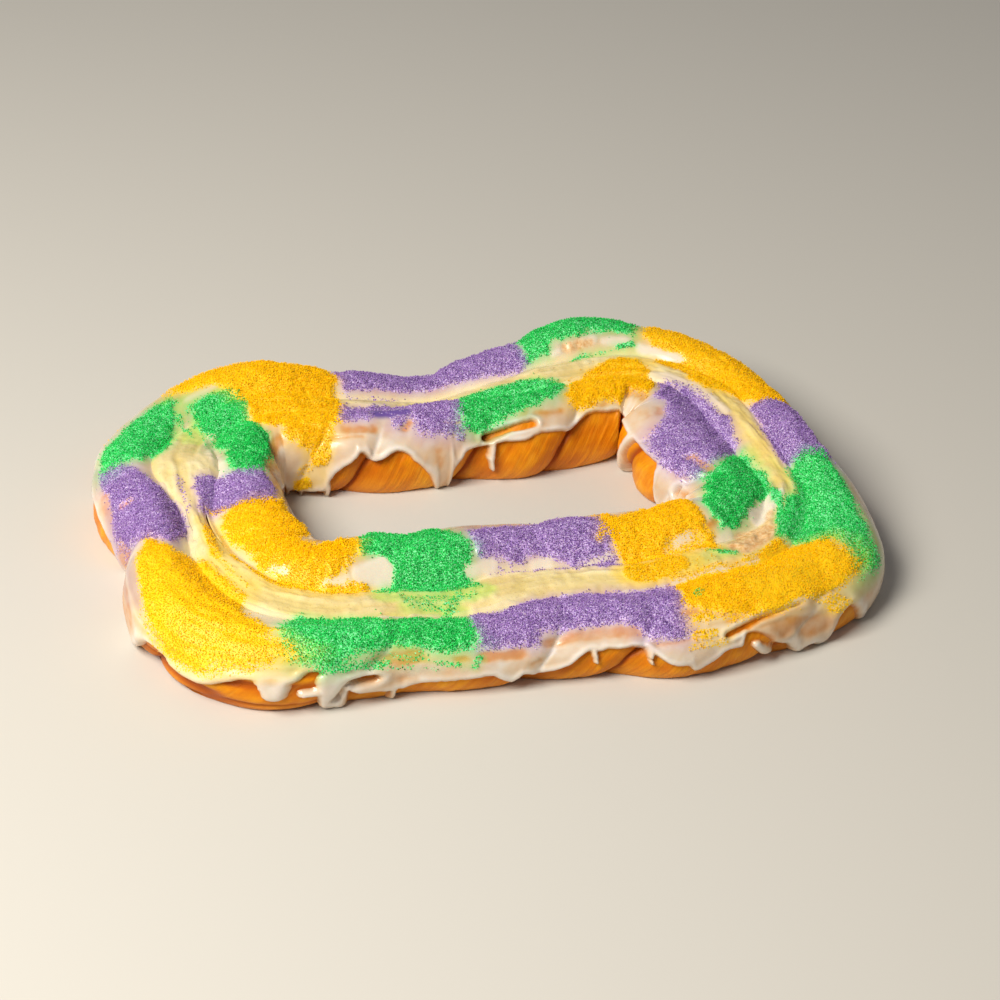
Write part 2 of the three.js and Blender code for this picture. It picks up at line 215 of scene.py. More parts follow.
# %% The section of the ring
CREASES = {  # the stations where the folds meet the base
    "outer": [13, 100, 148, 223, 262, 318, 381, 440, 499, 641, 718, 780, 833, 927],
    "inner": [40, 108, 165, 231, 278, 330, 376, 430, 487, 556, 590, 640, 700, 760, 812, 870, 925],
}
CREASE_LEAN = 34.0  # how far along the ring a fold has come at the crest
CREASE_DEPTH = 6.0
CREASE_STEEP, CREASE_GENTLE = 6.0, 16.0  # reach of a fold towards the strand below and the one above
CREASE_END, CREASE_FADE = 0.9, 0.55  # the place where folds end, and over how much they fade out
CREASE_ROUND = 1.2  # how softly the bottom of a fold is rounded
CREASE_SWEEP = 0.7  # below 1, a strand starts out flat and then rises
LEVEL_PUSH = 0.12  # below this place the surface is pushed level, so that folds notch the base too
SLOPE_STEP = 0.01  # the slope at a place is measured from this much below it to this much above it
LEAST_HEIGHT = 0.3


def section(station):
    """The section of the ring at a station, and where it stands."""
    x, y, out_x, out_y = middle_line(station)
    groove, out, inside, outer, inner, cream = (
        sum(bump(ahead(station, row[0]), SWELL_REACH) * row[k] for row in SWELLS) for k in range(1, 7)
    )
    width = {
        "outer": HALF_WIDTH + out - groove,
        "inner": HALF_WIDTH + inside + groove,
    }
    crest = {"outer": CREST_HEIGHT + outer, "inner": CREST_HEIGHT + inner}
    floor = np.minimum(crest["outer"], crest["inner"]) - GROOVE_DEPTH
    return {
        "station": station, "x": x, "y": y, "out_x": out_x, "out_y": out_y,
        "shift": groove, "width": width, "crest": crest, "floor": floor,
        "cream": CREAM_HALF_WIDTH + cream,
    }


def sweep(place):
    """How far along its lean a strand has come at a place: low down it lies flatter."""
    return (np.maximum(place, 0.0) / CREST) ** CREASE_SWEEP


def crease_depth(shape, side, place):
    """How deep the folds draw a place in, in millimetres."""
    depth = 0.0
    for foot in CREASES[side]:
        off = SIDES[side] * ahead(shape["station"], foot) - CREASE_LEAN * sweep(place)
        reach = np.where(off < 0, CREASE_STEEP, CREASE_GENTLE)
        depth = depth + CREASE_DEPTH * np.exp(-(np.sqrt(off**2 + CREASE_ROUND**2) - CREASE_ROUND) / reach)
    return depth * smooth((CREASE_END - place) / CREASE_FADE)


def side_point(shape, side, place):
    """Distance from the groove's middle and height, for a place from 0 at the base to 1 in the groove."""
    width, crest = shape["width"][side], shape["crest"][side]
    widest, crest_at = WIDEST_HEIGHT * crest, CREST_OFFSET * width
    low = np.pi / 2 * clamp01(place / WIDEST)
    mid = np.pi / 2 * clamp01((place - WIDEST) / (CREST - WIDEST))
    top = clamp01((place - CREST) / (1 - CREST))
    cosine = clamp01(np.cos(mid)) ** (2 / FULLNESS)
    distance = np.where(
        place < WIDEST,
        width - TUCK * (1 - np.sin(low)),
        np.where(place < CREST, crest_at + (width - crest_at) * cosine, crest_at * (1 - top)),
    )
    height = np.where(
        place < WIDEST,
        widest * (1 - np.cos(low)),
        np.where(
            place < CREST,
            widest + (crest - widest) * clamp01(np.sin(mid)) ** (2 / FULLNESS),
            mix(crest, shape["floor"], smooth(top)),
        ),
    )
    return distance, height


def skin(shape, v, lift, fill=0.0):
    """Signed distance from the groove's middle, outwards, and height, for a place on the whole skin.

    lift is how far the surface stands off the dough, and fill is how much of a fold it evens out.
    """
    ends = []
    for side, place in (("outer", np.minimum(v, 1.0)), ("inner", np.minimum(2.0 - v, 1.0))):
        before = side_point(shape, side, np.maximum(place - SLOPE_STEP, 0.0))
        after = side_point(shape, side, np.minimum(place + SLOPE_STEP, 1.0))
        along, up = after[0] - before[0], after[1] - before[1]
        run = np.hypot(along, up)
        push = lift - crease_depth(shape, side, place) * (1 - fill)
        level_push = 1 - smooth(place / LEVEL_PUSH)
        distance, height = side_point(shape, side, place)
        rise = -along / run * (1 - level_push) * push
        height = np.where(place > 0, np.maximum(height + rise, LEAST_HEIGHT), 0.0)
        ends.append((SIDES[side] * (distance + mix(up / run, 1.0, level_push) * push), height))
    outside = v <= 1.0
    return np.where(outside, ends[0][0], ends[1][0]), np.where(outside, ends[0][1], ends[1][1])


print(f"{len(CREASES['outer'])} folds outside and {len(CREASES['inner'])} inside")

# %% [markdown]
# Icing and sugar lie on top of the dough, so they could stand out of the box that the solids fill, which
# is the size that everyone who uses the cake relies on. Cutting them off there would leave flat spots.
# So a point is slowed down as it nears the box's sides or top, and never quite gets there.

# %% Stay inside the solids
EASE = 1.6  # millimetres before the solids' box in which a point is slowed down
CLEARANCE = 0.1
BOX = [np.array(corner) / MM for corner in solid_box]


def within_solids(points):
    """Points that would stand out of the solids' box, eased back into it."""
    for axis, sign in ((0, 1), (0, -1), (1, 1), (1, -1), (2, 1)):
        edge = max(sign * BOX[0][axis], sign * BOX[1][axis])
        over = np.maximum(points[..., axis] * sign - (edge - CLEARANCE - EASE), 0)
        points[..., axis] -= sign * (over - EASE * (1 - np.exp(-over / EASE)))
    return points


def on_ring(shape, distance, height):
    """A point of the cake, in millimetres."""
    out = distance + shape["shift"]
    x, y = shape["x"] + shape["out_x"] * out, shape["y"] + shape["out_y"] * out
    return within_solids(np.stack(np.broadcast_arrays(x, y, height), -1))


print("the solids reach", [np.round(corner, 1).tolist() for corner in BOX], "mm")

# %% [markdown]
# ## Folds and wrinkles
#
# Close up, baked dough has broad soft ripples that run along each strand, fine stretch marks in the same
# direction, and a thin dark seam at the bottom of each fold. At one corner the strand lies along the
# ring, and its crust has long cracks. A bump map could fake all this, but it would leave the outline
# smooth, so it is real relief. The ripples slide along with the strand, so they are drawn over a leaning
# station. Nearly all of it pushes inwards, so the cake keeps its size.

# %% Relief of the dough
RIPPLES = ((0.6, 11, 15, 2.2), (0.2, 12, 4.5, 6))
STRETCH_MARKS = ((0.22, 13, 2.4, 6), (0.45, 15, 7, 1.2))
DRAWN_IN = 1.0  # millimetres that the whole relief is set back
DEEPEST, HIGHEST = -3.4, 0.3
SEAM_DEPTH, SEAM_REACH = 1.7, 1.3
SEAM_END, SEAM_FADE = 0.62, 0.2  # places
CRACKED_AT, CRACKED_REACH = 803.0, 32.0  # stations
CRACK_SEED, CRACK_SIZE, CRACK_STRETCH = 14, 34, 0.13
CRACK_WIDTH, CRACK_DEPTH = 0.4, 2.7


def leaning(station, v):
    """The station where the strand through this place meets the base."""
    place = np.minimum(v, 2.0 - v)
    return station - np.where(v <= 1.0, 1.0, -1.0) * CREASE_LEAN * sweep(place)


def seam_distance(station, v):
    """How far along the ring the nearest fold's bottom is, in millimetres."""
    strand = leaning(station, v)
    outer, inner = (
        np.min([np.abs(ahead(strand, foot)) for foot in CREASES[side]], axis=0) for side in SIDES
    )
    return np.where(v <= 1.0, outer, inner)


def cracks(station, v):
    """From 0 to 1: the long cracks where a strand lies along the ring."""
    near = bump(ahead(station, CRACKED_AT), CRACKED_REACH) * np.where(v <= 1.0, 1.0, 0.0)
    return near * bump(hills(CRACK_SEED, station, v * SKIN, CRACK_SIZE, CRACK_STRETCH), CRACK_WIDTH)


def dough_relief(station, v):
    """How far the baked surface stands off the plain one, in millimetres."""
    strand, across = leaning(station, v), v * SKIN
    relief = layers(RIPPLES, strand, across) + layers(STRETCH_MARKS, strand, across)
    relief = relief - CRACK_DEPTH * cracks(station, v) - DRAWN_IN
    seam = SEAM_DEPTH * bump(seam_distance(station, v), SEAM_REACH)
    seam = seam * smooth((SEAM_END - np.minimum(v, 2.0 - v)) / SEAM_FADE)
    return np.clip(relief, DEEPEST, HIGHEST) - seam


sample = dough_relief(np.arange(0, LENGTH, 3.0)[None], np.linspace(0.1, 0.9, 40)[:, None])
print(f"the dough's relief goes from {sample.min():.1f} to {sample.max():.1f} mm")

# %% [markdown]
# ## Where the icing runs
#
# The icing was poured over the top and ran down until it set. Its lower border is one wavy line on each
# side, with drips that hang from it and bare places where the dough shows through. A fluid simulation
# would take long and put the drips anywhere, so we draw them. One simple shape is enough, a *streak*: a
# line between two places with a radius at each end. Every shape gives a distance, and blending the
# distances gives one smooth field, which is positive where there is icing. The icing's thickness
# follows from the distance to its border.

# %% Streaks
def soft_max(a, b, blend):
    """The larger of two values, with a rounded change from one to the other."""
    share = clamp01(0.5 + 0.5 * (a - b) / blend)
    return mix(b, a, share) + blend * share * (1 - share)


def streak_distance(streak, station, height):
    """How far inside a streak a place lies, in millimetres."""
    from_at, from_height, to_at, to_height, from_radius, to_radius = streak[:6]
    x, y = ahead(station, from_at), (height - from_height) * SKIN
    along, up = ahead(to_at, from_at), (to_height - from_height) * SKIN
    share = clamp01((x * along + y * up) / (along**2 + up**2 + 1e-9))
    return mix(from_radius, to_radius, share) - np.hypot(x - along * share, y - up * share)


middle = streak_distance((0, 0, 20, 0, 3, 3), 10.0, 0.0)
print(f"the middle of a streak 6 mm wide is {float(middle):.0f} mm inside it")

# %% The icing's lower border
# station and place on the side
BORDERS = {
    "outer": [
        (2, .285), (5, .31), (8, .315), (11, .30), (15, .315), (22, .31), (30, .325), (36, .33),
        (38, .30), (41, .26), (44, .22), (48, .19), (52, .175), (60, .17), (62, .13), (66, .13),
        (70, .15), (75, .17), (80, .205), (84, .215), (92, .215), (94, .295), (99, .30), (105, .27),
        (107, .23), (109, .17), (112, .15), (114, .10), (116, -.03), (124, -.03), (126, .05),
        (128, .17), (130, .22), (132, .26), (134, .24), (136, .17), (139, .06), (141, -.03),
        (150, -.03), (162, .0), (178, .06), (190, .20), (205, .36), (222, .30), (240, .22), (262, .34),
        (280, .25), (300, .22), (326, .16), (345, .26), (366, .38), (386, .30), (410, .22), (440, .18),
        (470, .36), (495, .28), (520, .24), (548, .37), (570, .28), (600, .24), (624, .20), (650, .30),
        (668, .32), (676, .28), (684, .26), (692, .19), (700, .17), (706, .16), (710, .10), (714, .03),
        (730, .0), (750, -.02), (769, -.02), (774, .02), (778, .08), (782, .14), (787, .20),
        (791, .215), (794, .20), (797, .165), (801, .155), (806, .16), (810, .18), (814, .21),
        (817, .25), (821, .26), (830, .25), (832, .27), (834, .32), (838, .31), (840, .25), (844, .18),
        (847, .135), (852, .125), (857, .115), (865, .12), (870, .14), (875, .15), (885, .16),
        (892, .165), (900, .175), (905, .18), (910, .19), (914, .185), (920, .14), (924, .125),
        (926, .13), (929, .15), (931, .17), (934, .16), (938, .14), (941, .15), (948, .158), (952, .17),
        (957, .20), (960, .23),
    ],
    "inner": [
        (0, .33), (24, .25), (50, .36), (66, .42), (90, .36), (118, .30), (150, .33), (190, .31),
        (200, .25), (212, .13), (222, .05), (226, .12), (229, .30), (232, .37), (240, .36), (262, .35),
        (270, .34), (298, .35), (310, .32), (340, .34), (365, .38), (385, .41), (390, .43), (396, .43),
        (400, .41), (404, .37), (408, .34), (412, .33), (416, .345), (420, .36), (430, .36),
        (434, .345), (440, .32), (444, .315), (452, .32), (462, .285), (470, .28), (475, .27),
        (478, .25), (480, .21), (482, .185), (486, .14), (487, -.03), (494, -.03), (496, .06),
        (498, .12), (501, .16), (505, .20), (510, .25), (513, .29), (516, .32), (520, .335),
        (524, .325), (528, .29), (531, .275), (535, .27), (537, .29), (539, .33), (541, .345),
        (543, .34), (544, .31), (548, .27), (552, .245), (557, .20), (561, .15), (564, .09),
        (570, .075), (580, .07), (586, .10), (592, .13), (610, .16), (650, .18), (680, .17), (700, .22),
        (724, .25), (756, .42), (800, .36), (850, .30), (884, .26), (926, .42), (945, .38),
    ],
}

for side, border in BORDERS.items():
    heights = [height for _, height in border]
    print(f"{side} side: {len(border)} border points, from {min(heights)} to {max(heights)}")

# %% Drips, and places left bare
# each one a streak: station and place, the same again, and a radius in millimetres at both ends
DRIPS = {
    "outer": [
        (7.5, .32, 9, .20, 1.1, .9), (38, .32, 38.5, .23, 1.6, 1.0), (38.5, .20, 39, .18, 1.0, 1.0),
        (106.5, .13, 101, .20, 1.4, 2.6), (158, .05, 157, -.02, 6, 7),
        (825.5, .28, 825.5, .165, 5, 2.6), (841, .27, 841, -.03, 3.8, 3.8),
        (840, .17, 833.5, .17, 1.4, 1.1), (860, .16, 859, -.03, 2.2, 1.5), (232, .32, 229, .13, 6, 3.0),
        (252, .30, 252.5, .20, 2.4, 1.2), (287, .28, 284, .15, 7, 3.6),
        (318, .22, 318.5, .02, 3.4, 2.0), (396, .34, 393, .18, 7.5, 4.2),
        (407, .28, 408, .11, 2.4, 1.2), (432, .24, 430, .09, 5.5, 3.2), (506, .34, 507, .16, 6.5, 3.0),
        (529, .28, 529, .19, 2, 1.1), (548, .36, 551, .25, 5, 3), (580, .28, 578, .07, 4.2, 1.8),
        (612, .26, 615, .13, 5.5, 3.0), (656, .30, 655, .10, 3.6, 2.0),
    ],
    "inner": [
        (264, .38, 270, .23, 3.0, 2.0), (270, .23, 277, .02, 2.0, 3.0), (306, .36, 306, .08, 3, 1.6),
        (459.5, .32, 461.5, .20, 2.4, 1.8), (461.5, .20, 460, .135, 1.8, .8),
        (562, .12, 561.5, -.02, 1.4, 1.2), (577, .10, 576.5, -.02, 1.5, 1.3),
        (585, .12, 585, .0, 1.2, 1.0), (24, .30, 21, .15, 5.5, 3.0), (100, .34, 101, .18, 3.4, 1.6),
        (140, .34, 140, .23, 2, 1.0), (180, .34, 177, .21, 5, 3.0), (640, .30, 640, .05, 4, 2.2),
        (724, .28, 724, .06, 3, 1.6), (790, .40, 790, .24, 2.4, 1.2), (830, .34, 829, .20, 3.4, 1.6),
        (852, .32, 855, .20, 6, 3.4), (884, .30, 887, .12, 4.4, 2.2), (910, .38, 909, .27, 2.6, 1.2),
    ],
}
BARE = {
    "outer": [
        (842, .11, 844.3, .19, .9, .6), (847.5, .20, 852, .205, 2.6, 2.4),
        (120.5, .0, 120, .07, 2.2, 1.6), (84, .325, 96, .355, 2.4, 2.0), (96, .355, 108, .40, 2.0, 1.1),
        (106, .40, 117, .425, 1.0, .7), (688, .20, 704, .14, 2.4, 1.6),
    ],
    "inner": [
        (434.5, .44, 450, .405, 3.0, 2.4), (450, .405, 463, .35, 2.6, 3.0),
        (210, .25, 209, .33, 1.7, 1.1),
    ],
}

for side in SIDES:
    print(f"{side} side: {len(DRIPS[side])} drips and {len(BARE[side])} bare places")

# %% Distance to the icing's border
BORDER_ROUNDING = ((-1.0, 0.25), (0.0, 0.5), (1.0, 0.25))  # steps along the ring, and their weights
DRIP_BLEND, BARE_BLEND = 1.4, 1.0
BORDER_WAVES = ((0.4, 21, 6), (0.25, 22, 2.6))


def border_height(side, station):
    """The place of the icing's lower border, with its corners rounded."""
    at, height = zip(*BORDERS[side])
    return sum(
        weight * np.interp(np.mod(station + step, LENGTH), at, height, period=LENGTH)
        for step, weight in BORDER_ROUNDING
    )


def icing_distance(side, station, place):
    """How far inside the icing's border a place lies, in millimetres."""
    height = border_height(side, station)
    slope = (border_height(side, station + 1.0) - border_height(side, station - 1.0)) / 2 * SKIN
    inside = (place - height) * SKIN / np.sqrt(1 + slope**2)
    for drip in DRIPS[side]:
        inside = soft_max(inside, streak_distance(drip, station, place), DRIP_BLEND)
    for bare in BARE[side]:
        inside = -soft_max(-inside, streak_distance(bare, station, place), BARE_BLEND)
    return inside + layers(BORDER_WAVES, station, place * SKIN)


sample = icing_distance("outer", np.arange(0.0, LENGTH, 2.0)[None], np.linspace(0, 1, 60)[:, None])
print(f"icing covers {np.mean(sample > 0):.0%} of the outer side")

# %% [markdown]
# ## Bands of sugar
#
# The sugar was scattered by hand while the icing was wet, so each band is a ragged patch. Each patch is
# an outline on the unrolled ring, in stations and heights on the skin. A point's distance to an outline
# tells how deep in the patch it lies, and random hills fray its border. Painting the patches on an image
# would be quicker, but an outline stays sharp at any size and can be read and changed here. Spilled
# sugar is a streak with a share, which says how much of the ground its grains cover.

# %% Outlines of the sugar bands
BANDS = {
    "purple": [
        [(908, .42), (940, .41), (944, .51), (990, .51), (1001, .42), (1021, .39), (1023, .5),
         (1031, .7), (1032, .86), (961, .85), (945, .82), (936, .74), (910, .73)],
        [(196, .50), (228, .48), (254, .56), (262, .7), (260, .79), (240, .83), (201, .9), (197, .75)],
        [(414, .45), (440, .4), (470, .44), (500, .42), (529, .45), (533, .6), (531, .78), (500, .75),
         (460, .75), (440, .79), (420, .82), (413, .8)],
        [(672, .42), (690, .42), (700, .35), (715, .14), (735, .13), (736, .33), (750, .55), (760, .72),
         (745, .84), (728, .89), (716, .86), (700, .78), (688, .71), (676, .68), (671, .55)],
        [(931, 1.24), (961, 1.2), (976, 1.2), (985, 1.12), (1000, 1.08), (1009, 1.12), (1011, 1.3),
         (1010, 1.45), (990, 1.5), (961, 1.43), (935, 1.43), (930, 1.33)],
        [(227, 1.1), (250, 1.06), (290, 1.06), (320, 1.1), (318, 1.2), (305, 1.3), (299, 1.36),
         (275, 1.34), (259, 1.42), (252, 1.58), (215, 1.6), (205, 1.5), (206, 1.43), (214, 1.3),
         (222, 1.2)],
        [(465, 1.04), (540, 1.05), (545, 1.25), (551, 1.38), (535, 1.38), (526, 1.34), (519, 1.36),
         (517, 1.46), (514, 1.47), (507, 1.40), (503, 1.55), (490, 1.57), (481, 1.6), (477, 1.45),
         (471, 1.27)],
        [(692, 1.05), (722, 1.04), (727, 1.2), (724, 1.5), (705, 1.55), (692, 1.5), (690, 1.28)],
    ],
    "green": [
        [(142, .37), (150, .34), (155, .45), (165, .55), (198, .58), (200, .7), (197, .86), (175, .9),
         (170, 1.0), (150, 1.01), (141, .97), (144, .8), (149, .67), (144, .52)],
        [(350, .42), (370, .36), (395, .38), (410, .42), (413, .6), (412, .8), (400, .8), (395, .72),
         (355, .71), (349, .72)],
        [(620, .58), (640, .56), (652, .5), (660, .43), (669, .42), (671, .55), (668, .7), (660, .83),
         (650, .87), (636, .8), (627, .7), (620, .64)],
        [(828, .46), (834, .38), (839, .33), (843, .33), (846, .42), (862, .47), (885, .40), (902, .43),
         (908, .5), (907, .72), (880, .72), (860, .69), (857, .81), (842, .83), (828, .85), (824, .7),
         (826, .55)],
        [(118, 1.2), (165, 1.19), (170, 1.1), (224, 1.1), (219, 1.2), (212, 1.3), (203, 1.43),
         (200, 1.48), (160, 1.47), (140, 1.44), (120, 1.40), (116, 1.3)],
        [(418, 1.05), (462, 1.0), (467, 1.15), (475, 1.42), (476, 1.56), (468, 1.60), (460, 1.57),
         (452, 1.50), (445, 1.46), (430, 1.40), (414, 1.36), (405, 1.3), (400, 1.17)],
        [(597, .76), (618, .74), (625, .93), (632, 1.08), (645, 1.2), (660, 1.28), (690, 1.28),
         (693, 1.4), (690, 1.5), (660, 1.55), (635, 1.58), (610, 1.5), (605, 1.42), (606, 1.25),
         (600, 1.08)],
        [(878, 1.1), (900, 1.06), (922, 1.1), (930, 1.3), (920, 1.42), (915, 1.58), (895, 1.6),
         (876, 1.58), (868, 1.42), (864, 1.32), (876, 1.26)],
    ],
    "gold": [
        [(66, .5), (72, .48), (80, .46), (90, .42), (104, .41), (112, .41), (118, .44), (135, .42),
         (143, .46), (148, .67), (143, .8), (138, .92), (90, .91), (70, .9), (69, .8), (66, .62)],
        [(262, .36), (275, .32), (300, .35), (325, .33), (343, .38), (346, .7), (340, .77), (324, .80),
         (333, .86), (334, .95), (312, .92), (306, 1.0), (290, 1.02), (283, .88), (280, .85),
         (272, .78), (262, .72), (258, .55)],
        [(537, .42), (560, .38), (590, .42), (615, .4), (618, .58), (605, .67), (600, .73), (597, .83),
         (596, 1.05), (541, 1.05), (540, .83), (534, .7)],
        [(755, .56), (765, .49), (775, .41), (782, .35), (788, .28), (795, .225), (806, .23),
         (811, .30), (819, .32), (829, .45), (825, .55), (818, .67), (810, .72), (803, .92), (776, .92),
         (768, .82), (765, .72), (752, .55)],
        [(52, 1.1), (75, 1.1), (106, 1.05), (110, 1.2), (109, 1.4), (106, 1.6), (80, 1.62), (76, 1.5),
         (60, 1.44), (52, 1.55), (49, 1.3)],
        [(345, .95), (365, 1.0), (380, 1.08), (395, 1.17), (405, 1.38), (404, 1.48), (396, 1.52),
         (388, 1.49), (380, 1.52), (360, 1.52), (345, 1.42), (305, 1.40), (315, 1.33), (330, 1.17)],
        [(541, 1.0), (596, 1.0), (600, 1.17), (605, 1.33), (586, 1.42), (583, 1.55), (572, 1.6),
         (565, 1.6), (558, 1.5), (554, 1.42), (545, 1.25)],
        [(728, 1.16), (745, 1.14), (775, 1.19), (800, 1.15), (830, 1.11), (840, 1.2), (862, 1.3),
         (866, 1.4), (864, 1.46), (840, 1.45), (800, 1.4), (780, 1.42), (760, 1.56), (740, 1.58),
         (720, 1.58), (724, 1.4)],
    ],
}

for colour, outlines in BANDS.items():
    print(f"{colour}: {len(outlines)} bands")

# %% Spilled sugar
# each one a streak on the whole skin, and the share of the ground that its grains cover
SPILLS = {
    "purple": [
        (0, 1.13, 22, 1.075, 1.5, 1.5, .7), (22, 1.075, 47, 1.17, 1.5, 2, .7),
        (204, .84, 240, .86, 2, 2, .3), (940, 1.16, 962, 1.12, 2, 2, .3),
        (477, 1.55, 481, 1.63, 3.5, 3, .7), (38, .44, 62, .42, 4, 3, .5),
        (500, .82, 530, .84, 2, 2, .3), (690, .92, 720, .95, 2, 3, .3),
    ],
    "green": [
        (75, .672, 76, .678, 2.6, 2.6, 1), (866, 1.10, 925, 1.08, 3, 3, .6),
        (882, .95, 905, .90, 6, 5, .32), (898, .80, 912, 1.02, 3, 3, .5),
        (880, 1.0, 918, .97, 4, 4, .3), (350, .78, 362, .83, 1.3, 1.3, .9),
        (362, .83, 386, .87, 1.3, 1, .6), (99, 1.06, 112, .97, 1.5, 2, .8),
        (148, .98, 178, 1.08, 2, 2.5, .9), (840, .34, 856, .30, 4, 3, .6),
        (852, .36, 876, .33, 4, 4, .30), (856, .27, 884, .25, 3, 3, .22),
        (884, .29, 895, .29, 3, 3, .4), (903, .27, 906, .34, 2, 2, .5),
        (612, .74, 627, .92, 1.6, 1.6, .5), (619, .74, 640, 1.0, 1.2, 1, .45),
        (627, .76, 632, .88, 2.4, 2, .6), (625, .97, 648, 1.14, 1.2, 1, .5),
        (596, .80, 600, 1.05, 2.5, 2.5, .9), (170, .92, 196, .92, 3, 2, .35),
        (885, .76, 905, .76, 3, 3, .2),
    ],
    "gold": [
        (65, .38, 74, .37, 4, 3.5, .6), (61, .32, 80, .29, 3, 3, .35), (88, .42, 95, .42, 2.5, 2, .5),
        (127, .38, 130, .29, 4, 3.6, .55), (740, 1.04, 772, 1.0, 2.5, 3, .7),
        (772, 1.0, 800, .97, 3, 1.5, .35), (776, 1.09, 800, 1.11, 3, 3, .8),
        (800, 1.11, 862, 1.15, 3.5, 3, .8), (54, 1.0, 78, 1.0, 9, 8, .85),
        (85, .97, 100, .97, 5, 3, .2), (563, 1.55, 567, 1.72, 5, 4.5, .8),
        (568, 1.72, 577, 1.80, 3, 2.5, .4), (575, 1.865, 579, 1.88, 2.6, 2.4, .95),
        (300, .92, 330, .89, 4, 5, .9), (338, 1.08, 352, 1.02, 4, 8, .8),
        (720, 1.10, 728, 1.30, 3, 4, .5), (40, 1.26, 48, 1.36, 1.4, 1.4, .9),
        (640, .33, 650, .33, 2, 2, .2),
    ],
}

for colour, spills in SPILLS.items():
    print(f"{colour}: {len(spills)} spills")

# %% [markdown]
# Wet icing takes up colour from the sugar, so it is lime near green sugar, lemon near gold and violet
# near purple. In some places the icing is so thin that the crust shows, in others it has run together to
# a thick glaze that took no sugar, and where the ring cracked open we see torn crumb. All of these are
# streaks too, each with a share, which says how strong it is in its middle.

# %% Colour stains, thick glaze, thin icing and torn dough
# each one a streak on the whole skin and a share
STAINS = {
    "lime": [
        (610, .66, 642, .84, 5, 7, .45),
        (868, 1.04, 925, 1.0, 8, 8, .6), (880, .90, 908, .86, 7, 6, .5), (86, .98, 112, 1.0, 6, 6, .35),
        (600, .80, 640, 1.0, 9, 9, .5), (172, .93, 205, .97, 6, 4, .3), (345, .82, 372, .86, 4, 4, .3),
        (870, .80, 900, .80, 5, 5, .25), (845, .40, 900, .33, 7, 8, .22),
    ],
    "lemon": [
        (50, 1.0, 84, 1.0, 12, 11, .7), (735, 1.06, 800, 1.02, 8, 7, .5),
        (800, 1.08, 862, 1.11, 8, 7, .5), (190, 1.0, 285, .98, 8, 10, .4),
        (565, 1.55, 570, 1.80, 9, 8, .4), (800, .25, 825, .36, 7, 9, .3),
        (340, .94, 350, 1.0, 9, 9, .5), (66, .37, 82, .32, 6, 6, .3), (128, .35, 130, .30, 6, 6, .3),
    ],
    "glaze": [
        (324, .795, 345, .79, 2.2, 2.6, 1), (604, .70, 616, .69, 1.6, 2, .4),
        (632, 1.10, 690, 1.25, 4, 5, .5), (86, 1.19, 94, 1.21, 2.6, 3, .7),
        (150, 1.14, 166, 1.10, 6, 5.6, 1), (166, 1.10, 174, 1.06, 5.6, 4, 1),
        (860, 1.19, 874, 1.22, 5, 6, 1), (835, 1.17, 852, 1.18, 2, 2.5, .8),
        (798, 1.19, 808, 1.20, 2, 2, .8), (0, 1.17, 8, 1.16, 3, 3, .8),
        (26, 1.13, 44, 1.19, 3, 2.4, .7), (262, 1.04, 330, 1.10, 3, 4, .6),
        (70, .875, 120, .885, 1.4, 1.4, .8), (370, .77, 396, .80, 1.6, 1.6, .9),
        (354, .77, 364, .78, 3, 2, .9), (924, 1.18, 938, 1.19, 3, 3, .8),
        (862, .79, 876, .73, 3, 3, .6), (112, 1.15, 121, 1.17, 2.6, 3, .6),
    ],
    "thin": [
        (856, .33, 874, .34, 5, 5, .75), (910, .35, 929, .33, 4, 4, 1), (946, .40, 963, .43, 4, 5, .7),
        (724, .16, 770, .20, 11, 10, .85), (774, .26, 784, .24, 5, 4, .5),
        (963, .43, 995, .45, 5, 4, .7), (936, .24, 940, .26, 2, 2, .6),
        (62, .575, 70, .56, 2.5, 2.5, 1), (42, .35, 60, .37, 1.4, 1.4, .7),
        (75, .43, 92, .41, 1.3, 1.3, .9), (107, .37, 120, .41, 1.4, 1.4, .9),
        (864, .18, 872, .17, 2, 1, .5), (832, .33, 836, .34, 2, 2, .8), (895, .33, 899, .345, 2, 2, .9),
        (415, 1.51, 430, 1.485, 1.8, 1.8, .6), (384, 1.53, 386, 1.55, 3, 3, .6),
        (509, 1.45, 513, 1.50, 2.2, 2.4, 1), (532, 1.47, 548, 1.47, 3.4, 3.4, .7),
        (540, 1.53, 556, 1.535, 1.5, 1.5, .7), (305, 1.42, 345, 1.43, 4, 5, .7),
        (207, 1.41, 220, 1.44, 4, 4, .8), (200, 1.70, 209, 1.71, 3, 3, .7),
        (268, 1.40, 275, 1.39, 3, 2, .6), (590, 1.55, 640, 1.62, 5, 7, .6),
        (640, 1.62, 700, 1.60, 7, 5, .6), (495, 1.78, 496, 1.70, 3, 2, .4),
        (82, 1.15, 98, 1.17, 6, 6, .5), (345, .79, 350, .78, 2, 2, .6),
        (300, 1.16, 320, 1.15, 2, 4, .5), (107, 1.24, 117, 1.25, 2, 2, 1),
        (812, 1.50, 826, 1.56, 5, 5, .4), (688, .36, 700, .30, 5, 5, .5),
        (72, .55, 84, .47, 1.3, 1.4, .9), (84, .47, 99, .40, 1.4, 1.6, 1),
        # the first streak below thins the icing on the lobe at the front right corner; it is partly a
        # thin place and partly painted shade, as that lobe lies in shade
        (103, .33, 121, .22, 9, 7, .7), (772, .38, 790, .27, 6, 5, .45),
        (706, .42, 708, .52, 2.5, 2.5, .7), (940, .64, 944, .66, 1, 1, .3),
        (480, 1.52, 487, 1.50, 1.2, 1.2, .7),
    ],
    "violet": [
        (526, 1.33, 508, 1.35, 4.6, 4.2, .97), (764, .40, 778, .36, 6, 5, .4),
        (700, .30, 712, .20, 6, 5, .2), (748, .30, 772, .30, 7, 6, .22),
    ],
    "torn": [
        (119, 1.02, 141, 1.04, 7.5, 6, 1), (128, 1.09, 140, 1.06, 6, 5, 1),
        (372, .785, 388, .79, 1.8, 3, .9), (145, 1.03, 158, 1.07, 4, 2.4, .8),
    ],
}


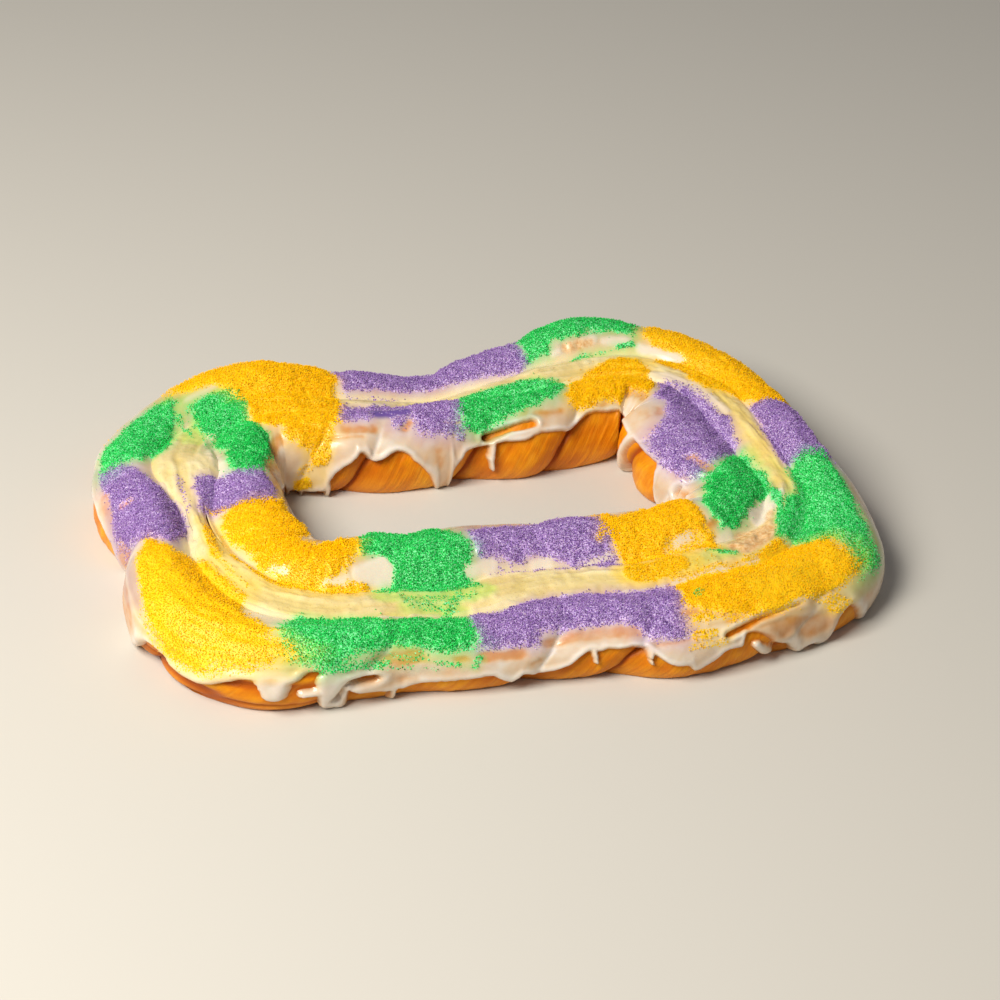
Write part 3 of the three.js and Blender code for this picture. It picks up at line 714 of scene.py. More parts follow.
for name, streaks in STAINS.items():
    print(f"{name}: {len(streaks)} streaks")


# %% How deep in a band a place lies
def outline_distance(outline, station, v):
    """How deep inside an outline a place lies, in millimetres, and negative outside it."""
    start = outline[0][0]
    x, y = ahead(station, start), v * SKIN
    corners = [(at - start, height * SKIN) for at, height in outline]
    nearest = np.full(np.broadcast(x, y).shape, 1e9)
    inside = np.zeros(nearest.shape, bool)
    for (ax, ay), (bx, by) in zip(corners, corners[1:] + corners[:1]):
        along, up = bx - ax, by - ay
        share = clamp01(((x - ax) * along + (y - ay) * up) / (along**2 + up**2))
        nearest = np.minimum(nearest, np.hypot(x - ax - along * share, y - ay - up * share))
        if up:
            crossing = ax + (y - ay) / up * along
            inside = inside ^ (((ay > y) != (by > y)) & (x < crossing))
    return np.where(inside, nearest, -nearest)


def band_depth(colour, station, v):
    """How deep a place lies in the nearest band of a colour."""
    return np.max([outline_distance(outline, station, v) for outline in BANDS[colour]], axis=0)


square = [(0, 0), (20, 0), (20, 20 / SKIN), (0, 20 / SKIN)]
middle = outline_distance(square, 10.0, 10 / SKIN)
print(f"a square 20 mm wide is {float(middle):.0f} mm deep in its middle")

# %% How fully streaks cover a place
FRAY = ((1.7, 31, 9), (1.3, 32, 3.5))  # moves every border in and out


def streaks_cover(streaks, station, v, ragged, soft):
    """From 0 to 1, how fully the streaks cover a place, with a soft edge in millimetres."""
    cover = np.zeros(np.broadcast(station, v).shape)
    for streak in streaks:
        inside = streak_distance(streak, station, v) + ragged
        cover = np.maximum(cover, smooth((inside + soft / 2) / soft) * streak[6])
    return cover


print("layers that fray the borders:", len(FRAY))

# %% [markdown]
# Now we put bands, spills and stains together. For any place the result says, as a share from 0 to 1,
# how much of each *mark* is there. Single grains need a sharp share, while the colour that bleeds into
# the wet icing reaches further, so each sugar also has a wider, softer mark, its *haze*. Near the groove
# the icing has mixed with the cream and is marked as creamy.

# %% What lies where
SUGARS = ("purple", "green", "gold")
HAZES = tuple(name + "_haze" for name in SUGARS)
MARKS = SUGARS + HAZES + tuple(STAINS) + ("creamy",)
KEEPS_OFF = {"glaze": 0.97, "torn": 0.97, "thin": 0.75, "violet": 0.8}  # how much of the sugar bands

# millimetres of soft edge
STAIN_EDGE = {"lime": 6.0, "lemon": 6.0, "glaze": 3.5, "thin": 5.5, "violet": 5.0, "torn": 3.0}
SPILL_EDGE, SPILL_HAZE_EDGE = 2.5, 8.0
FADE_ON_SKIRT, FADE_AT_CREAM = 12.0, 6.0  # over which a band thins out to bare icing
HAZE_REACH = 1.9  # how many times as far its colour bleeds
STRAY_REACH = 9.0  # how far outside a band single grains still lie

# places on the side
SKIRT_END, SKIRT_FADE = 0.45, 0.25
CREAMY_FROM, CREAMY_WITHIN = 0.75, 9.0  # and the millimetres over which icing turns to cream

# how full a band or its haze is at its outline, and how much of the fraying each border takes
BAND_AT_OUTLINE, HAZE_AT_OUTLINE = 0.58, 0.7
STAIN_FRAY, SPILL_FRAY, HAZE_FRAY = 0.5, 0.6, 0.7


def toppings(station, v):
    """What lies on the icing or cream at a place: a share from 0 to 1 for each of the marks."""
    ragged, place = layers(FRAY, station, v * SKIN), np.minimum(v, 2 - v)
    found = {
        name: streaks_cover(streaks, station, v, STAIN_FRAY * ragged, STAIN_EDGE[name])
        for name, streaks in STAINS.items()
    }
    found["creamy"] = smooth(((place - CREAMY_FROM) * SKIN + ragged) / CREAMY_WITHIN)
    room = 1.0
    for name, share in KEEPS_OFF.items():
        room = room * (1 - share * found[name])
    fade = mix(FADE_ON_SKIRT, FADE_AT_CREAM, smooth((place - SKIRT_END) / SKIRT_FADE))
    for colour in SUGARS:
        depth = band_depth(colour, station, v)
        band = smooth((depth + ragged) / fade + BAND_AT_OUTLINE) * room
        spill = streaks_cover(SPILLS[colour], station, v, SPILL_FRAY * ragged, SPILL_EDGE)
        haze = smooth((depth + HAZE_FRAY * ragged) / (fade * HAZE_REACH) + HAZE_AT_OUTLINE) * room
        spill_haze = streaks_cover(SPILLS[colour], station, v, ragged, SPILL_HAZE_EDGE)
        found[colour] = np.maximum(band, spill)
        found[colour + "_haze"] = np.maximum(haze, spill_haze)
    return found


def near_sugar(colour, station, v):
    """From 0 to 1: near enough to a band for stray grains."""
    return smooth((band_depth(colour, station, v) + STRAY_REACH) / STRAY_REACH)


print("marks on the surface:", ", ".join(MARKS))

# %% [markdown]
# Poured icing is about a millimetre thick. Surface tension swells it to a rounded rim just inside its
# border, and beyond the border we let its top dive under the dough. It fills ripples and folds, so it
# shows them less than the crust does. Where sugar lies, a lumpy bed of grains comes on top.

# %% The icing's thickness, in millimetres
ICING_BODY, ICING_WAVES = 1.15, ((0.22, 41, 16), (0.08, 42, 5))
UNDER_DOUGH = -1.3  # where its top lies once it has dived under the dough
DIVE_START, DIVE_WITHIN = 1.2, 2.8  # it comes up from there this far outside its border, over this much
RIM_HEIGHT, RIM_AT, RIM_REACH = 0.7, 2.0, 1.8
EVENS_RELIEF = 0.8  # share of the dough's relief that it hides
EVEN_FROM, FULL_FROM = 1.0, 1.5  # thicknesses that hide the relief, and that fill the folds
POOLS = 0.5  # share of a hollow's depth that makes it thicker there
THIN_BODY, THIN_LOOK, GLAZE_ADDS = 0.4, 0.68, 0.45
SUGAR_BED, SUGAR_LUMPS = 0.75, ((0.6, 43, 6), (0.5, 44, 2.8))
SUGAR_GATHERS = 2.0  # how much faster than its colour the sugar's grains thin out at a border
TORN_DEPTH, TORN_LUMPS = 0.5, ((0.3, 45, 2.4), (0.5, 46, 5))


def all_sugar(found):
    """The share of the ground that sugar of any colour covers."""
    return clamp01(sum(found[colour] for colour in SUGARS))


def icing_layer(station, v, found):
    """How far the icing's top stands off the dough, its thickness, how far inside its border a place
    lies, and from 0 to 1 how well it fills the folds."""
    place, across = np.minimum(v, 2.0 - v), v * SKIN
    distance = np.where(v <= 1.0, *(icing_distance(side, station, place) for side in SIDES))
    relief = dough_relief(station, v)
    body = layers(ICING_WAVES, station, across, ICING_BODY)
    body = body * (1 - THIN_BODY * found["thin"]) + GLAZE_ADDS * found["glaze"]
    risen = clamp01((distance + DIVE_START) / DIVE_WITHIN)
    rim = RIM_HEIGHT * bump(distance - RIM_AT, RIM_REACH)
    wet = UNDER_DOUGH + (body + rim - UNDER_DOUGH) * np.sqrt(risen * (2 - risen))
    even = EVENS_RELIEF * smooth(wet / EVEN_FROM)
    thick = np.maximum(wet - POOLS * (relief + DRAWN_IN), 0) * (1 - THIN_LOOK * found["thin"])
    bed = all_sugar(found) ** SUGAR_GATHERS * (SUGAR_BED + layers(SUGAR_LUMPS, station, across))
    torn = found["torn"] * (layers(TORN_LUMPS, station, across) - TORN_DEPTH)
    return wet + bed + torn + relief * (1 - even), thick, distance, smooth(wet / FULL_FROM)


sample = np.arange(0.0, LENGTH, 2.0)[None], np.linspace(0.5, 0.7, 20)[:, None]
_, sample_thickness, _, _ = icing_layer(*sample, toppings(*sample))
thinnest, thickest = sample_thickness.min(), sample_thickness.max()
print(f"on the shoulder the icing is {thinnest:.1f} to {thickest:.1f} mm thick")

# %% [markdown]
# ## The cream
#
# A stripe of soft cream was piped along the groove. Its middle stands a little proud, and it has ridges
# along its length where the spoon drew it out. The icing laps over its edges. Its top is one height for
# each station and distance from the groove's middle, so it can be asked for at any point, also by the
# icing and the sugar that lie on it.

# %% The cream's height, in millimetres
CREAM_GAP = 0.3  # between the cream's edge and the dough
CREAM_SET_BACK = 0.7  # leaves room for the ridges
CREAM_EDGE = 0.8  # share of the half width at which the cream starts to round off
EDGE_FALL, END_FALL = 0.35, 0.5  # how steeply it falls from there, and past the edge
# long ridges, short ridges and two sizes of spoon marks
CREAM_RIDGES = ((0.7, 51, 34, 0.10), (0.5, 52, 14, 0.6), (0.22, 53, 8, 0.16), (0.34, 55, 3.6))
RIDGES_ACROSS = 60.0  # where on the lattice of hills the groove's middle lies


def cream_foot(shape, side):
    """The height of the dough at the cream's edge."""
    share = (shape["cream"] + CREAM_GAP) / (CREST_OFFSET * shape["width"][side])
    return side_point(shape, side, mix(1.0, CREST, share))[1] + CREAM_GAP


def cream_ridges(station, distance):
    return layers(CREAM_RIDGES, station, distance + RIDGES_ACROSS)


def cream_height(shape, distance):
    """The height of the cream's top at a signed distance from the groove's middle."""
    edges = {
        side: np.maximum(shape["floor"] + CREAM_RISE, cream_foot(shape, side) + CREAM_LEAST_EDGE)
        for side in SIDES
    }
    share = distance / shape["cream"]
    level = mix(edges["inner"], edges["outer"], clamp01((share + 1) / 2))
    crown = CREAM_CROWN * (1 - np.minimum(share**2, 1.0))
    past_edge, past_end = (np.maximum(np.abs(share) - start, 0) for start in (CREAM_EDGE, 1))
    fall = (EDGE_FALL * past_edge + END_FALL * past_end) * shape["cream"]
    return level + crown + cream_ridges(shape["station"], distance) - CREAM_SET_BACK - fall


FOLDS_FILLED = 0.6  # share of a fold's depth that full icing evens out


def top_of_cake(shape, v, lift, fill, over_cream):
    """A point on the icing or the cream, whichever is higher."""
    distance, height = skin(shape, v, lift, FOLDS_FILLED * fill)
    cream = cream_height(shape, distance) + over_cream
    near = np.minimum(v, 2.0 - v) > CREST
    return on_ring(shape, distance, np.where(near, np.maximum(height, cream), height))


sample = section(np.arange(0.0, LENGTH, 1.0))
print(f"the cream's middle is {np.min(cream_height(sample, 0 * sample['station'])):.0f} to "
      f"{np.max(cream_height(sample, 0 * sample['station'])):.0f} mm above the table")

# %% [markdown]
# ## From a flat grid to a ring
#
# Every skin here starts as a flat grid with one column for each station and one row for each height.
# Its vertices are then moved to where the functions above say, and the first and last columns and rows,
# which now lie on each other, are merged. That closes the grid to a ring with no seam. A modifier could
# bend a grid too, but it could not put each vertex where our functions want it. What the finishes need
# to know later, such as where sugar lies, goes along as an attribute for each mark.

# %% Bend a grid round the ring
WELD = 0.002  # millimetres within which vertices are merged


def bend_grid(name, points, marks):
    """A closed ring from rows and columns of points in millimetres, with its marks as attributes."""
    rows, columns = points.shape[0] - 1, points.shape[1] - 1
    flat = bmesh.new()
    bmesh.ops.create_grid(flat, x_segments=columns, y_segments=rows, size=1.0)
    mesh = bpy.data.meshes.new(name)
    flat.to_mesh(mesh)
    flat.free()
    place = np.empty(len(mesh.vertices) * 3, np.float32)
    mesh.vertices.foreach_get("co", place)
    place = place.reshape(-1, 3)
    i = np.rint((place[:, 0] + 1) / 2 * columns).astype(int)
    j = np.rint((place[:, 1] + 1) / 2 * rows).astype(int)
    mesh.vertices.foreach_set("co", (points[j, i] * MM).astype(np.float32).ravel())
    for key, values in marks.items():
        hidden = points.shape[0] - values.shape[0]  # rows of the underside, which carry no marks
        values = np.concatenate([values, np.zeros((hidden,) + values.shape[1:])], 0)[j, i]
        kind, field = ("FLOAT", "value") if values.ndim == 1 else ("FLOAT_VECTOR", "vector")
        mark = mesh.attributes.new(key, kind, "POINT")
        mark.data.foreach_set(field, values.astype(np.float32).ravel())
    ring = bmesh.new()
    ring.from_mesh(mesh)
    bmesh.ops.remove_doubles(ring, verts=ring.verts, dist=WELD * MM)
    bmesh.ops.recalc_face_normals(ring, faces=ring.faces)
    for face in ring.faces:
        face.smooth = True
    ring.to_mesh(mesh)
    ring.free()
    mesh.update()
    piece = bpy.data.objects.new(name, mesh)
    bpy.context.collection.objects.link(piece)
    print(f"{name}: {len(mesh.polygons)} faces")
    return piece


def close_rows(*parts):
    """The rows of all parts, and the first one again at the end, so that the grid meets itself."""
    rows = np.concatenate(parts, 0)
    return np.concatenate([rows, rows[:1]], 0)


# %% [markdown]
# The dough is one closed skin from base edge to base edge, and its underside is flat. Under the icing
# its rows lie far apart, because nobody sees them. It carries four marks for its finish: how deep it lies
# in a fold or crack, which the finish paints as shade, how high on the side, how proud its ripples are,
# which picks painted shade in hollows and painted light on crowns, and its place along and across its
# strand, as a point of a cylinder, so that it too meets itself.

# %% Make the dough
MARK_STRETCH = 0.12  # stretch marks are long across the ring, so places across it are drawn together
DOUGH_COLUMNS, SKIN_COLUMNS = 1220, 950
DOUGH_ROW, FINE_ROW = 0.0145, 0.0105  # between rows where the surface shows
ICED_FROM, ICED_ROWS = 0.46, 7  # the place from which icing hides the dough, and its rows there
UNDERSIDE = (1 / 3, 2 / 3)  # where rows lie on it, from the inner to the outer base edge
# how dark the painted shade is in folds, seams and cracks, and how far it reaches from a seam
FOLD_SHADE, SEAM_SHADE, CRACK_SHADE, SEAM_SHADE_REACH = 0.55, 0.6, 0.8, 1.8
RIPPLE_DEEP, RIPPLE_SPAN = 1.9, 1.8  # millimetres of relief from the mark's 0 to its 1


def stations(columns):
    return np.linspace(0, LENGTH, columns + 1)[None, :]


def make_dough():
    station = stations(DOUGH_COLUMNS)
    shape = section(station)
    side = np.concatenate([np.arange(0, ICED_FROM, DOUGH_ROW), np.linspace(ICED_FROM, 1.0, ICED_ROWS)])
    v = np.concatenate([side, (2 - side[::-1])[1:]])[:, None]
    relief = dough_relief(station, v)
    points = on_ring(shape, *skin(shape, v, relief))
    under = [mix(points[-1], points[0], share) for share in UNDERSIDE]
    turn = leaning(station, v) / LENGTH * math.tau
    depth = np.where(
        v <= 1, crease_depth(shape, "outer", np.minimum(v, 1)),
        crease_depth(shape, "inner", np.minimum(2 - v, 1)),
    )
    marks = {
        # fold: how deep a place lies in a fold, seam or crack, which the finish paints as shade
        "fold": clamp01(
            depth / CREASE_DEPTH * FOLD_SHADE
            + bump(seam_distance(station, v), SEAM_SHADE_REACH) * SEAM_SHADE
            + CRACK_SHADE * cracks(station, v)
        ),
        "rise": np.broadcast_to(np.minimum(v, 2 - v), depth.shape),
        # ripple: how proud the relief stands, which the finish paints as shade in hollows and light on
        # crowns
        "ripple": clamp01((relief + RIPPLE_DEEP) / RIPPLE_SPAN),
        "strand": np.stack(np.broadcast_arrays(
            np.cos(turn) * LENGTH / math.tau, np.sin(turn) * LENGTH / math.tau, v * SKIN * MARK_STRETCH
        ), -1),
    }
    return bend_grid("dough_ring_baked", close_rows(points, np.array(under)), marks)


dough = make_dough()

# %% [markdown]
# Each skin of icing is closed too: its top follows the icing's field, and its underside lies hidden in
# the dough. Where there is no icing the top dives under the dough as well, so the border that shows is
# the real line where the two surfaces meet. A skin cut out along its border would need a wall there, and
# would show a step. Near the groove the icing first laps over the cream and then dives under it.

# %% Make the two skins of icing
SKIN_END = 0.93  # the icing ends under the cream
LAP_UP, LAP_DOWN = 0.9, -1.2  # off the cream where the lap starts, and where it has dived under
LAP_START, LAP_WITHIN, LAP_WAVES = 1.0, 4.0, ((1.6, 47, 9),)
HIDDEN_ROWS = [0, 12, 30, 50, 70, -1]  # rows of the top that its underside repeats
HIDDEN_DEPTH = -4.0
THICKEST = 1.85  # millimetres of icing that look fully white


def make_icing(side):
    station = stations(SKIN_COLUMNS)
    shape = section(station)
    place = np.arange(0.0, SKIN_END, FINE_ROW)[:, None]
    v = place if side == "outer" else 2 - place
    found = toppings(station, v)
    lift, thick, _, fill = icing_layer(station, v, found)
    reach, _ = skin(shape, v, 0.0)
    inside = layers(LAP_WAVES, station, v * SKIN, shape["cream"] - np.abs(reach))
    lap = mix(LAP_UP, LAP_DOWN, clamp01((inside + LAP_START) / LAP_WITHIN))
    top = top_of_cake(shape, v, lift, fill, lap)
    bottom = on_ring(shape, *skin(shape, v[HIDDEN_ROWS], HIDDEN_DEPTH))
    marks = {"thick": clamp01(thick / THICKEST)} | found
    return bend_grid("icing_" + side + "_poured", close_rows(top, bottom[::-1]), marks)


icing = {side: make_icing(side) for side in SIDES}

# %% [markdown]
# The cream is a closed strip in the same way. It is a little wider than what shows, because the icing
# hides its edges, and three rows deep in the groove are enough for its underside. Its mark for ridges
# lets the finish paint their tops paler and their hollows darker, as painted light and shade.

# %% Make the cream
CREAM_REACH, CREAM_ROWS = 1.12, 41  # the reach as a share of the half width
CREAM_LOW, CREAM_LOW_DEPTH = (-0.9, 0.0, 0.9), 1.0  # its underside, and how deep in the groove it lies
CREAM_BED, CREAM_BED_SEED, CREAM_BED_SIZE, CREAM_BED_LUMPS = 0.5, 54, 3, 0.6
CREAM_GLAZE = 0.7
CREAM_TORN_LUMPS = ((0.4, 45, 2.4), (0.6, 46, 5))
RIDGE_MIDDLE, RIDGE_SHARE = 0.5, 0.4
# the edge mark, which the finish paints darker as shade where the cream meets the dough and icing
EDGE_FROM, EDGE_WITHIN = 0.82, 0.25  # shares of the half width over which the finish turns to its edge


def make_cream():
    station = stations(SKIN_COLUMNS)
    shape = section(station)
    distance = np.linspace(CREAM_REACH, -CREAM_REACH, CREAM_ROWS)[:, None] * shape["cream"]
    width = np.where(distance > 0, shape["width"]["outer"], shape["width"]["inner"])
    v = 1 - distance / (CREST_OFFSET * width) * (1 - CREST)
    found, across = toppings(station, v), v * SKIN
    lumps = 1 + CREAM_BED_LUMPS * hills(CREAM_BED_SEED, station, across, CREAM_BED_SIZE)
    bed = CREAM_BED * all_sugar(found) * lumps + CREAM_GLAZE * found["glaze"]
    torn = found["torn"] * layers(CREAM_TORN_LUMPS, station, across)
    top = on_ring(shape, distance, cream_height(shape, distance) + bed + torn)
    depth = shape["floor"] - CREAM_LOW_DEPTH
    low = [on_ring(shape, share * shape["cream"], depth)[0] for share in CREAM_LOW]
    marks = found | {
        "ridge": clamp01(RIDGE_MIDDLE + RIDGE_SHARE * cream_ridges(station, distance)),
        "edge": smooth((np.abs(distance / shape["cream"]) - EDGE_FROM) / EDGE_WITHIN),
    }
    return bend_grid("cream_stripe", close_rows(top, np.array(low)), marks)


cream = make_cream()

# %% [markdown]
# ## The sugar crystals
#
# Coarse sugar is thousands of grains under a millimetre across, and its sparkle comes from their flat
# faces. One grain is an eight-sided crystal. Copying objects that often would be slow, so its few
# vertices are repeated in an array, each copy turned and stretched its own way, and made one mesh for
# each colour and side. That also keeps every piece under 200,000 triangles.

# %% One crystal
def crystal_shape():
    grain = bmesh.new()
    bmesh.ops.create_uvsphere(grain, u_segments=4, v_segments=2, radius=1.0)
    bmesh.ops.triangulate(grain, faces=grain.faces)
    corners = np.array([vertex.co for vertex in grain.verts])
    faces = np.array([[vertex.index for vertex in face.verts] for face in grain.faces])
    grain.free()
    return corners, faces


CORNERS, FACES = crystal_shape()
print(f"a crystal has {len(FACES)} faces")

# %% [markdown]
# Grains that fall at random would leave gaps and heaps that are too strong. So we lay a fine grid over
# the ring, give each cell one grain somewhere in it, and keep it with the chance that the marks give for
# that spot. A few stray grains are kept all round the bands. The seeds never change, so neither does the
# cake.

# %% Scatter the crystals
GRAIN_SPACING = 0.81
GRAIN_RADIUS = (0.28, 0.54)
GRAIN_STRETCH = (0.75, 1.2)
GRAIN_RAISED = 0.2  # share of its radius by which a grain's middle stands over the bed
GRAIN_PERCH = 0.95  # some grains lie on others, up to the square of this higher, in millimetres
GRAIN_OVER_CREAM = 0.3
LAST_GRAINS = -1.0  # millimetres outside the icing's border where the last ones stick
STRAY_SHARE = 0.008


def turned(count, rng):
    """Random turns, as matrices."""
    q = rng.normal(size=(count, 4))
    w, x, y, z = (q / np.linalg.norm(q, axis=1, keepdims=True)).T
    return np.array([
        [1 - 2 * (y * y + z * z), 2 * (x * y - z * w), 2 * (x * z + y * w)],
        [2 * (x * y + z * w), 1 - 2 * (x * x + z * z), 2 * (y * z - x * w)],
        [2 * (x * z - y * w), 2 * (y * z + x * w), 1 - 2 * (x * x + y * y)],
    ]).transpose(2, 0, 1)


def scatter(colour, side, rng):
    """Stations and heights of the grains of one colour on one side."""
    columns, rows = round(LENGTH / GRAIN_SPACING), round(SKIN / GRAIN_SPACING)
    station, v = np.meshgrid(np.arange(columns) + 0.0, np.arange(rows) + 0.0)
    station = ((station + rng.uniform(0, 1, station.shape)) / columns * LENGTH).ravel()
    v = ((v + rng.uniform(0, 1, v.shape)) / rows).ravel()
    v = v if side == "outer" else 2 - v
    found = toppings(station, v)
    chance = found[colour] ** SUGAR_GATHERS + STRAY_SHARE * near_sugar(colour, station, v)
    keep = rng.uniform(0, 1, station.shape) < chance
    return station[keep], v[keep], {name: values[keep] for name, values in found.items()}


def make_sugar(colour, side, seed):
    """All grains of one colour on one side, as one mesh."""
    rng = np.random.default_rng(seed)
    station, v, found = scatter(colour, side, rng)
    lift, _, distance, fill = icing_layer(station, v, found)
    radius = rng.uniform(*GRAIN_RADIUS, len(station))
    perch = radius * GRAIN_RAISED + rng.uniform(0, GRAIN_PERCH, len(station)) ** 2
    middle = top_of_cake(section(station), v, lift + perch, fill, GRAIN_OVER_CREAM + perch)
    stretch = rng.uniform(*GRAIN_STRETCH, (len(station), 1, 3))
    corners = (CORNERS[None] * stretch * radius[:, None, None]) @ turned(len(station), rng)
    points = within_solids(corners + middle[:, None])[distance > LAST_GRAINS]
    faces = (FACES[None] + len(CORNERS) * np.arange(len(points))[:, None, None]).reshape(-1, 3)
    name = f"sugar_{colour}_{side}"
    mesh = bpy.data.meshes.new(name)
    mesh.from_pydata((points.reshape(-1, 3) * MM).tolist(), [], faces.tolist())
    tone = np.repeat(rng.uniform(0, 1, len(points)), len(CORNERS))
    mesh.attributes.new("tone", "FLOAT", "POINT").data.foreach_set("value", tone.astype(np.float32))
    mesh.update()
    piece = bpy.data.objects.new(name, mesh)
    bpy.context.collection.objects.link(piece)
    print(f"{name}: {len(points)} crystals, {len(faces)} faces")
    return piece


SUGAR_SEEDS = {
    ("purple", "outer"): 101, ("purple", "inner"): 102, ("green", "outer"): 103,
    ("green", "inner"): 104, ("gold", "outer"): 105, ("gold", "inner"): 106,
}
sugar = {key: make_sugar(*key, seed) for key, seed in SUGAR_SEEDS.items()}

# %% [markdown]
# ## Materials
#
# Colours on a cake change with thickness: icing is white where it is thick and shows the amber crust
# where it is thin. The meshes carry such facts as attributes, and the materials turn them into colour.
# Building nodes takes many lines, so each kind of node gets a small helper that returns its output.

# %% Node helpers
def linear(red, green, blue):
    """An everyday 0 to 255 colour as Blender's linear one."""
    values = [c / 255 for c in (red, green, blue)]
    return tuple(c / 12.92 if c <= 0.04045 else ((c + 0.055) / 1.055) ** 2.4 for c in values) + (1.0,)


def connect(tree, value, socket):
    """Link a socket to another, or set it to a plain value."""
    if isinstance(value, bpy.types.NodeSocket):
        tree.links.new(value, socket)
    else:
        socket.default_value = value


def attribute(tree, name, output="Fac"):
    """A mark that the mesh carries."""
    node = tree.nodes.new("ShaderNodeAttribute")
    node.attribute_name = name
    return node.outputs[output]


def noise(tree, scale, detail, place=None):
    """Soft random values round 0.5, in the piece's own coordinates or at a given place."""
    node = tree.nodes.new("ShaderNodeTexNoise")
    connect(tree, scale, node.inputs["Scale"])
    node.inputs["Detail"].default_value = detail
    place = place or tree.nodes.new("ShaderNodeTexCoord").outputs["Object"]
    tree.links.new(place, node.inputs["Vector"])
    return node.outputs["Fac"]


def ramp(tree, source, stops):
    """A colour picked from stops, each a position from 0 to 1 and a colour."""
    node = tree.nodes.new("ShaderNodeValToRGB")
    elements = node.color_ramp.elements
    while len(elements) < len(stops):
        elements.new(0.5)
    for element, (place, colour) in zip(elements, stops):
        element.position = place
        element.color = colour
    tree.links.new(source, node.inputs["Fac"])
    return node.outputs["Color"]


def blend(tree, share, a, b):
    """One colour, and another as far as the share says."""
    node = tree.nodes.new("ShaderNodeMix")
    node.data_type = "RGBA"
    for socket, value in zip([s for s in node.inputs if s.enabled], (share, a, b)):
        connect(tree, value, socket)
    return next(s for s in node.outputs if s.enabled)


def maths(tree, operation, a, b):
    node = tree.nodes.new("ShaderNodeMath")
    node.operation = operation
    connect(tree, a, node.inputs[0])
    connect(tree, b, node.inputs[1])
    return node.outputs["Value"]


def level(tree, source, low, high, to_low=0.0, to_high=1.0):
    """A value that goes from to_low to to_high while its source goes from low to high."""
    node = tree.nodes.new("ShaderNodeMapRange")
    for key, value in (("From Min", low), ("From Max", high), ("To Min", to_low), ("To Max", to_high)):
        node.inputs[key].default_value = value
    tree.links.new(source, node.inputs["Value"])
    return node.outputs["Result"]


print("a middle grey is", round(linear(128, 128, 128)[0], 3), "in Blender's colours")

# %% [markdown]
# Three effects are used by several finishes, so each of them is a node group, made once and placed in
# each material with its own values. *Mottle* mixes a second colour in, in soft patches.

# %% Node group: mottle
PATCH_DETAIL, PATCH_EDGE = 4, (0.38, 0.66)  # noise values between which a patch comes in


def start_group(name, ins, outs):
    """An empty node group with its named inputs and outputs."""
    group = bpy.data.node_groups.new(name, "ShaderNodeTree")
    for key, kind in ins:
        group.interface.new_socket(key, in_out="INPUT", socket_type="NodeSocket" + kind)
    for key, kind in outs:
        group.interface.new_socket(key, in_out="OUTPUT", socket_type="NodeSocket" + kind)
    return group, group.nodes.new("NodeGroupInput").outputs, group.nodes.new("NodeGroupOutput").inputs


def make_mottle():
    group, ins, outs = start_group(
        "mottle",
        [("Colour", "Color"), ("Patches", "Color"), ("Scale", "Float"), ("Amount", "Float")],
        [("Colour", "Color")],
    )
    patch = noise(group, ins["Scale"], PATCH_DETAIL)
    share = maths(group, "MULTIPLY", level(group, patch, *PATCH_EDGE), ins["Amount"])
    group.links.new(blend(group, share, ins["Colour"], ins["Patches"]), outs["Colour"])
    return group


MOTTLE = make_mottle()
print(MOTTLE.name, "is a group of", len(MOTTLE.nodes), "nodes")

# %% [markdown]
# *Stains* lays the stains, the glaze and the torn crumb over the icing's or the cream's own colour, each
# as far as its mark says. The crumb is open and uneven, so a noise runs through three shades of it.

# %% Node group: stains
STAIN_COLOURS = {  # in the order in which they lie on each other
    "lime": linear(190, 226, 92), "lemon": linear(255, 216, 84), "violet": linear(92, 62, 152),
    "glaze": linear(240, 226, 202),
}
CRUMB_COLOURS = [(0.3, linear(222, 164, 98)), (0.5, linear(240, 194, 134)), (0.7, linear(250, 216, 164))]
CRUMB_SCALE, CRUMB_DETAIL = 480, 3


def make_stains():
    names = list(STAIN_COLOURS) + ["torn"]
    group, ins, outs = start_group(
        "stains", [("Colour", "Color")] + [(name, "Float") for name in names], [("Colour", "Color")],
    )
    colour = ins["Colour"]
    for name, stain in STAIN_COLOURS.items():
        colour = blend(group, ins[name], colour, stain)
    crumb = ramp(group, noise(group, CRUMB_SCALE, CRUMB_DETAIL), CRUMB_COLOURS)
    group.links.new(blend(group, ins["torn"], colour, crumb), outs["Colour"])
    return group


STAIN = make_stains()
print(STAIN.name, "is a group of", len(STAIN.nodes), "nodes")

# %% [markdown]
# *Sugar coat* strews a skin with the three colours of sugar: it divides the surface into cells as small
# as grains, gives each its own tone, from painted shade through the sugar's own colour to a painted
# glint, and colours a cell only if its own random number is below the share of sugar there. So a band
# ends in single grains, not in a blur. The haze tints the ground between.

# %% Node group: sugar coat
GRAIN_CELLS = 1400.0  # cells in a metre
CELL_TONES = (0.0, 0.45, 1.0)  # where on a cell's dice each of the three colours lies
SHARE_DICE = (0, 1, 0.15, 0.95)  # the other dice: below .15 of sugar no cell has a grain, above .95 all
SUGAR_TINT = 0.62  # how far sugar colours the wet ground between its grains
# for each colour: painted shade between grains, the sugar's own colour, and a painted glint
SUGAR_SHADE_COLOUR_GLINT = {  # in the gaps, on most grains, and on a few bright ones
    "purple": (linear(104, 62, 144), linear(177, 139, 202), linear(232, 210, 244)),
    "green": (linear(2, 130, 44), linear(38, 224, 100), linear(150, 248, 178)),
    "gold": (linear(253, 192, 0), linear(255, 204, 0), linear(255, 214, 12)),
}


